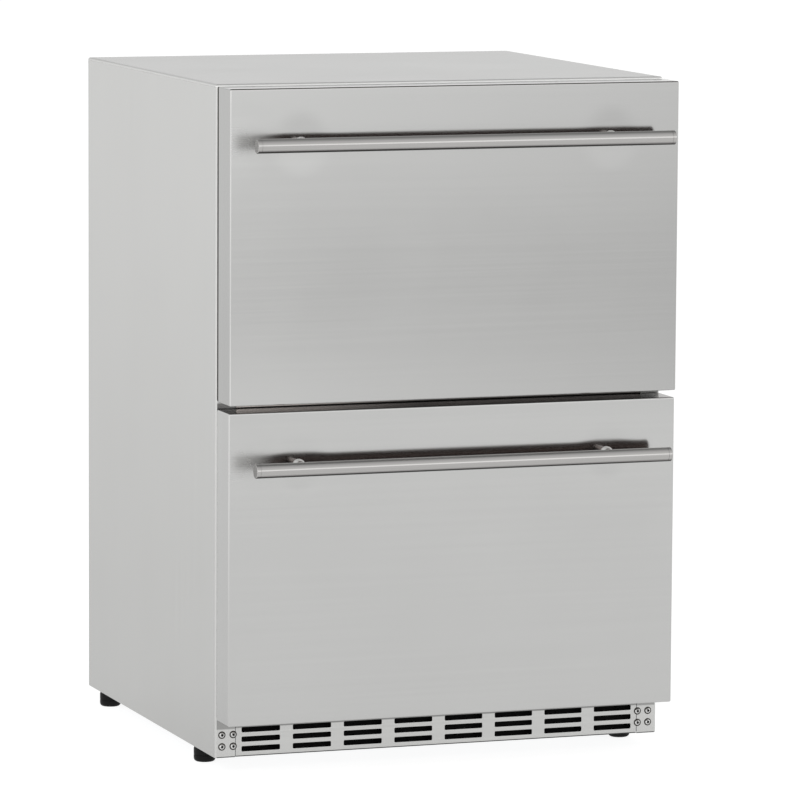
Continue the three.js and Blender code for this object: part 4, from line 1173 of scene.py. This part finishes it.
def control():
    lo, hi = box("control_housing")
    y0 = lo.y
    cz = 0.7955
    rows = []
    shape = ((4.5, 0.0), (2.2, 0.4), (0.8, 1.5), (0.0, 4.0), (0.0, None), (2.0, None), (2.0, 4.0), (4.5, 2.2))
    for inset, y in shape:
        yy = hi.y if y is None else y0 + y * MM
        r = max(7 - inset, 1.2) * MM
        pts = []
        i = inset * MM
        for px, pz, a0 in ((hi.x - i - 0.01 * MM, hi.z, None), (lo.x + i + 0.01 * MM, hi.z, None), (lo.x + i, lo.z + i, 180), (hi.x - i, lo.z + i, 270)):
            if a0 is None:
                pts.append((px, yy, pz))
                continue
            sx = 1 if a0 == 180 else -1
            for k in range(6):
                a = math.radians(a0 + 90 * k / 5)
                pts.append((px + sx * r + r * math.cos(a), yy, pz + r + r * math.sin(a)))
        rows.append(pts)
    bm = rings(rows, closed=True)
    hole = [(4.3 * MM * math.cos(2 * math.pi * k / 28), cz + 4.3 * MM * math.sin(2 * math.pi * k / 28)) for k in range(28)]
    i = 4.4 * MM
    face = [(hi.x - i, hi.z), (lo.x + i, hi.z), (lo.x + i, lo.z + i), (hi.x - i, lo.z + i)]
    join(bm, plate([face, hole], y0, y0 + 2 * MM, 0.05 * MM))
    join(bm, round_cube((lo.x + 1.5 * MM, hi.y - 2 * MM, lo.z + 1.5 * MM), (hi.x - 1.5 * MM, hi.y, hi.z), 0.5 * MM, 1))
    # scale marks round the knob
    marks = bmesh.new()
    for k in range(10):
        a = math.radians(225 - 30 * k)
        m = round_cube((15.2 * MM, -0.3 * MM, -0.35 * MM), ((18.0 if k % 3 == 0 else 17.0) * MM, 0.05 * MM, 0.35 * MM), 0.12 * MM, 1)
        bmesh.ops.transform(m, matrix=Matrix.Translation((0, y0, cz)) @ Matrix.Rotation(-a, 4, "Y"), verts=m.verts)
        join(marks, m)
    put("control_pod", bm, "cover", "control_housing", angle=40)
    put("control_marks", marks, "black", body="cabinet", angle=40, weighted=False)

    lo, hi = box("thermostat_knob")
    yb = box("control_housing")[0].y
    prof = [(0, -7), (3.6, -7), (4, -6.6), (4, 0.3), (13.6, 0.3), (14, 0.8), (14, 3.2), (13.7, 4.2), (12.6, 8.8), (12.1, 9.8), (11, 10.4), (0, 10.4)]
    bm = lathe([(r * MM, h * MM) for r, h in prof], 96, "-y", (0, yb, cz))
    for v in bm.verts:                                     # grip flutes
        dx, dz = v.co.x, v.co.z - cz
        r = math.hypot(dx, dz)
        if r > 12 * MM and 3.5 * MM < yb - v.co.y < 9.6 * MM:
            k = 1 - 0.045 * (0.5 + 0.5 * math.cos(24 * math.atan2(dz, dx)))
            v.co.x, v.co.z = dx * k, cz + dz * k
    join(bm, round_cube((-1.9 * MM, yb - 13.5 * MM, cz - 10.5 * MM), (1.9 * MM, yb - 9.5 * MM, cz + 10.5 * MM), 0.8 * MM, 3))
    line = round_cube((-0.45 * MM, yb - 13.5 * MM, cz + 3.5 * MM), (0.45 * MM, yb - 13.2 * MM, cz + 9.6 * MM), 0.1 * MM, 1)
    put("thermostat_dial", bm, "black", "thermostat_knob", angle=35)
    put("thermostat_pointer", line, "cover", body="thermostat_knob", angle=40, weighted=False)


def inlet():
    lo, hi = box("power_inlet")
    cx, cz = (lo.x + hi.x) / 2, (lo.z + hi.z) / 2
    w, h = 10.6 * MM, 7.6 * MM
    k = 3.6 * MM
    hole = [(cx - w, cz - h), (cx + w, cz - h), (cx + w, cz + h - k), (cx + w - k, cz + h), (cx - w + k, cz + h), (cx - w, cz + h - k)]
    bm = plate([round_rect(lo.x, hi.x, lo.z, hi.z, 2.5 * MM), hole], hi.y - 15 * MM, hi.y, 0.5 * MM, 2)
    join(bm, round_cube((lo.x + 1 * MM, lo.y, lo.z + 1 * MM), (hi.x - 1 * MM, hi.y - 14.6 * MM, hi.z - 1 * MM), 1.5 * MM, 2))
    pins = bmesh.new()
    for dx, dz in ((-7, -1.5), (0, 2.6), (7, -1.5)):
        join(pins, round_cube((cx + dx * MM - 1 * MM, hi.y - 16 * MM, cz + dz * MM - 2.2 * MM), (cx + dx * MM + 1 * MM, hi.y - 4 * MM, cz + dz * MM + 2.2 * MM), 0.5 * MM, 2))
    put("inlet_socket", bm, "black", "power_inlet", angle=35)
    put("inlet_pins", pins, "slide", body="cabinet", angle=35)


# ------------------------------------------------------------------ rear
def rear():
    lo, hi = box("rear_panel")
    clo = Vector((lo.x, box("side_panel_left")[0].y, lo.z))
    seam_y = box("side_panel_left")[1].y + 0.3 * MM
    y1 = hi.y
    r = 3 * MM
    bm = round_cube((clo.x, clo.y, clo.z - 0.03), hi, r, 5)
    for co, no in (((0, 0, lo.z), (0, 0, 1)), ((0, seam_y, 0), (0, 1, 0)), ((-hi.x + r, 0, 0), (1, 0, 0)), ((hi.x - r, 0, 0), (1, 0, 0)), ((0, 0, hi.z - r), (0, 0, 1))):
        cut(bm, co, no)
    keep(bm, lambda c: c.z > lo.z and c.y > seam_y and not (abs(c.x) < hi.x - r and c.z < hi.z - r and c.y > y1 - 1e-5))
    me = thick(bm, 1.0 * MM)
    holes = []
    vx = [(-252 + i * 32) * MM for i in range(13)]
    for x in vx:
        holes.append(slot_outline(x, 0.126, 9 * MM, 108 * MM, 4.3 * MM, 6))
    ilo, ihi = box("power_inlet")
    holes.append(round_rect(ilo.x - 0.3 * MM, ihi.x + 0.3 * MM, ilo.z - 0.3 * MM, ihi.z + 0.3 * MM, 2.8 * MM))
    px, pz0, pz1 = 0.245, 0.262, 0.812
    holes.append(round_rect(-px, px, pz0, pz1, 22 * MM, 8))
    screws = [(sx * 0.284, z) for sx in (-1, 1) for z in (0.045, 0.225, 0.43, 0.635, 0.84)] + [(x, 0.846) for x in (-0.14, 0.14)] + [(x, 0.225) for x in (-0.14, 0.0, 0.14)]
    for x, z in screws:
        holes.append([(x + 4.2 * MM * math.cos(2 * math.pi * k / 24), z + 4.2 * MM * math.sin(2 * math.pi * k / 24)) for k in range(24)])
    join(me, plate([[(-hi.x + r, lo.z), (hi.x - r, lo.z), (hi.x - r, hi.z - r), (-hi.x + r, hi.z - r)]] + holes, y1 - 1.0 * MM, y1, 0.12 * MM))
    # pressed field that stiffens the sheet
    rows = []
    for inset, dy, rr in ((0.0, 0.0, 22), (0.5, 0.10, 21.6), (1.1, 0.32, 21.1), (1.9, 0.66, 20.5), (2.6, 0.88, 20), (3.6, 0.96, 19)):
        rows.append([(x, y1 - dy * MM, z) for x, z in round_rect(-px + inset * MM, px - inset * MM, pz0 + inset * MM, pz1 - inset * MM, rr * MM, 8)])
    field = rings(rows, cap1=True)
    join(me, thick(field, 0.45 * MM, -1.0))
    put("rear_sheet", me, "rear", "rear_panel", angle=35)
    bits = bmesh.new()
    for x, z in screws:
        prof = [(0, -6), (1.4, -6), (1.6, -5), (1.6, -2.6), (3.9, -0.5), (4.0, -0.3), (3.9, -0.15), (1.9, -0.1), (1.75, -0.2), (1.6, -1.3), (0, -1.3)]
        join(bits, lathe([(a * MM, b * MM) for a, b in prof], 24, "y", (x, y1, z)))
    # painted shade: the sockets take the near-black recess colour
    for f in bits.faces:
        c = f.calc_center_median()
        if min(math.hypot(c.x - x, c.z - z) for x, z in screws) < 1.72 * MM and c.y > y1 - 1.4 * MM:
            f.material_index = 1
    put("rear_screws", bits, ["screw", "recess"], body="cabinet", angle=40, weighted=False)


# ------------------------------------------------------------------ light
def studio():
    w = bpy.data.worlds.new("studio")
    SCENE.world = w
    w.use_nodes = True
    t = w.node_tree
    t.nodes.clear()

    def node(tree, kind, **kw):
        n = tree.nodes.new(kind)
        for k, v in kw.items():
            setattr(n, k, v)
        return n

    def profile(tree, src, stops, top):
        """A smooth curve of radiance: stops are (position 0..1, radiance), top is the largest."""
        r = node(tree, "ShaderNodeValToRGB")
        e = r.color_ramp.elements
        while len(e) > 1:
            e.remove(e[-1])
        for k, (p, v) in enumerate(stops):
            x = e[0] if k == 0 else e.new(p)
            x.position = p
            x.color = (v / top, v / top, v / top * 0.996, 1)
        tree.links.new(src, r.inputs["Fac"])
        return r.outputs["Color"]

    def smooth(tree, src, a, b):
        m = node(tree, "ShaderNodeMapRange", interpolation_type="SMOOTHSTEP")
        m.inputs["From Min"].default_value = a
        m.inputs["From Max"].default_value = b
        tree.links.new(src, m.inputs["Value"])
        return m.outputs["Result"]

    def blended(tree, fac, a, b):
        m = node(tree, "ShaderNodeMix", data_type="RGBA")
        tree.links.new(fac, m.inputs[0])
        tree.links.new(a, m.inputs[6])
        tree.links.new(b, m.inputs[7])
        return m.outputs[2]

    out = node(t, "ShaderNodeOutputWorld")
    tc = node(t, "ShaderNodeTexCoord")
    sep = node(t, "ShaderNodeSeparateXYZ")
    t.links.new(tc.outputs["Generated"], sep.inputs[0])
    TOP = 2.0
    # in front of the fridge: a wide low softbox, and a softer ceiling
    ahead = profile(t, sep.outputs["Z"], [(0.0, 1.06), (0.05, 1.15), (0.09, 1.66), (0.27, 1.66), (0.40, 0.98), (0.62, 0.95), (0.79, 0.86), (0.95, 0.62), (1.0, 0.50)], TOP)
    behind = profile(t, sep.outputs["Z"], [(0.0, 1.15), (0.12, 1.15), (0.32, 1.10), (0.48, 0.60), (0.70, 0.34), (0.90, 0.36), (1.0, 0.50)], TOP)
    sky = blended(t, smooth(t, sep.outputs["Y"], -0.25, 0.25), ahead, behind)
    bg = node(t, "ShaderNodeBackground")
    t.links.new(sky, bg.inputs["Color"])
    bg.inputs["Strength"].default_value = TOP
    white = node(t, "ShaderNodeBackground")
    white.inputs["Color"].default_value = (1, 1, 1, 1)
    white.inputs["Strength"].default_value = 1.05
    lp = node(t, "ShaderNodeLightPath")
    mix = node(t, "ShaderNodeMixShader")
    t.links.new(lp.outputs["Is Camera Ray"], mix.inputs["Fac"])
    t.links.new(bg.outputs[0], mix.inputs[1])
    t.links.new(white.outputs[0], mix.inputs[2])
    t.links.new(mix.outputs[0], out.inputs["Surface"])

    # floor: a lit white table, brighter towards the backdrop
    me = bpy.data.meshes.new("floor")
    s = 60
    me.from_pydata([(-s, -s, 0), (s, -s, 0), (s, s, 0), (-s, s, 0)], [], [(0, 1, 2, 3)])
    floor = bpy.data.objects.new("floor", me)
    SCENE.collection.objects.link(floor)
    m = bpy.data.materials.new("floor")
    m.use_nodes = True
    ft = m.node_tree
    ft.nodes.clear()
    fo = node(ft, "ShaderNodeOutputMaterial")
    ftc = node(ft, "ShaderNodeTexCoord")
    fsep = node(ft, "ShaderNodeSeparateXYZ")
    ft.links.new(ftc.outputs["Object"], fsep.inputs[0])
    ln = node(ft, "ShaderNodeVectorMath", operation="LENGTH")
    ft.links.new(ftc.outputs["Object"], ln.inputs[0])
    reach = node(ft, "ShaderNodeMapRange")
    reach.inputs["From Max"].default_value = 16.0
    ft.links.new(ln.outputs["Value"], reach.inputs["Value"])
    far = 16.0
    D = 0.20
    ftop = 1.5
    f_ahead = profile(ft, reach.outputs["Result"], [(d / far, v - D) for d, v in
                      ((0.4, 0.94), (2.0, 0.955), (3.0, 0.99), (3.8, 1.045), (4.4, 1.03), (5.2, 0.90), (6.0, 0.855), (7.2, 0.88), (9.0, 1.06), (12.0, 1.13), (15.5, 1.15))], ftop)
    f_behind = profile(ft, reach.outputs["Result"], [(d / far, v - D) for d, v in
                       ((0.3, 1.04), (1.5, 1.045), (2.5, 1.095), (3.6, 1.13), (6.6, 1.20), (9.0, 1.24), (15.5, 1.275))], ftop)
    glow = blended(ft, smooth(ft, fsep.outputs["Y"], -0.5, 0.5), f_ahead, f_behind)
    # a brighter pool on the left, which the vertical folds pick up
    pool = node(ft, "ShaderNodeMath", operation="MULTIPLY")
    ft.links.new(smooth(ft, fsep.outputs["X"], -1.0, -3.0), pool.inputs[0])
    ft.links.new(smooth(ft, fsep.outputs["Y"], 1.0, -0.5), pool.inputs[1])
    lift = node(ft, "ShaderNodeVectorMath", operation="SCALE")
    gain = node(ft, "ShaderNodeMath", operation="MULTIPLY_ADD")
    ft.links.new(pool.outputs[0], gain.inputs[0])
    gain.inputs[1].default_value = 0.45
    gain.inputs[2].default_value = 1.0
    ft.links.new(glow, lift.inputs[0])
    ft.links.new(gain.outputs[0], lift.inputs["Scale"])
    em = node(ft, "ShaderNodeEmission")
    ft.links.new(lift.outputs[0], em.inputs["Color"])
    em.inputs["Strength"].default_value = ftop
    seen = node(ft, "ShaderNodeEmission")
    seen.inputs["Color"].default_value = (1, 1, 1, 1)
    seen.inputs["Strength"].default_value = 0.885
    flp = node(ft, "ShaderNodeLightPath")
    fmix = node(ft, "ShaderNodeMixShader")
    ft.links.new(flp.outputs["Is Camera Ray"], fmix.inputs["Fac"])
    ft.links.new(em.outputs[0], fmix.inputs[1])
    ft.links.new(seen.outputs[0], fmix.inputs[2])
    dif = node(ft, "ShaderNodeBsdfDiffuse")
    dif.inputs["Color"].default_value = (0.22, 0.22, 0.22, 1)
    ad = node(ft, "ShaderNodeAddShader")
    ft.links.new(dif.outputs[0], ad.inputs[0])
    ft.links.new(fmix.outputs[0], ad.inputs[1])
    ft.links.new(ad.outputs[0], fo.inputs["Surface"])
    me.materials.append(m)

    def area(name, loc, aim, size, power, spread=180):
        li = bpy.data.lights.new(name, "AREA")
        li.shape = "RECTANGLE"
        li.size, li.size_y = size
        li.energy = power
        li.spread = math.radians(spread)
        o = bpy.data.objects.new(name, li)
        SCENE.collection.objects.link(o)
        o.location = loc
        o.rotation_mode = "QUATERNION"
        o.rotation_quaternion = (Vector(aim) - Vector(loc)).to_track_quat("-Z", "Y")
        o.visible_glossy = False
        return o
    area("key_left", (-3.6, -3.2, 2.6), (0, 0, 0.5), (1.6, 1.6), 60)
    area("overhead", (0.2, -0.6, 4.2), (0, 0, 0.4), (3.0, 3.0), 40)


def finish_view():
    SCENE.view_settings.view_transform = "Standard"
    SCENE.view_settings.look = "None"
    SCENE.view_settings.exposure = 0
    SCENE.view_settings.gamma = 1
    SCENE.cycles.max_bounces = 12
    SCENE.cycles.glossy_bounces = 8
    SCENE.cycles.use_denoising = True


make_camera()
make_materials()
for n in NODES:
    paint_cad(n, BY_SLOT[SLOT[n]])
paint_cad("center_mullion", "mullion")
paint_cad("rear_panel", "rear")
paint_cad("upper_bin", "bin")
paint_cad("lower_bin", "bin")
for lv in ("upper", "lower"):
    drawer_front(lv)
    gasket(lv)
    handle(lv)
    bin_pan(lv)
cabinet()
toe()
feet()
liner()
mullion()
for n in NODES:
    if "_slide_" in n:
        slide(n, "drawer" not in n)
evap_cover()
fan_rotor("evaporator_fan_rotor", 5)
fan_rotor("condenser_fan_rotor", 5)
fan_shroud()
coil("condenser_coil", 3.2 * MM)
coil("evaporator_coil", 6.0 * MM)
compressor()
control()
inlet()
rear()
soften("base_pan", "galv", 0.4 * MM)
soften("machine_bay_skin", "galv", 0.4 * MM)
soften("grille_bracket_left", "galv", 0.3 * MM)
soften("grille_bracket_right", "galv", 0.3 * MM)
studio()
finish_view()
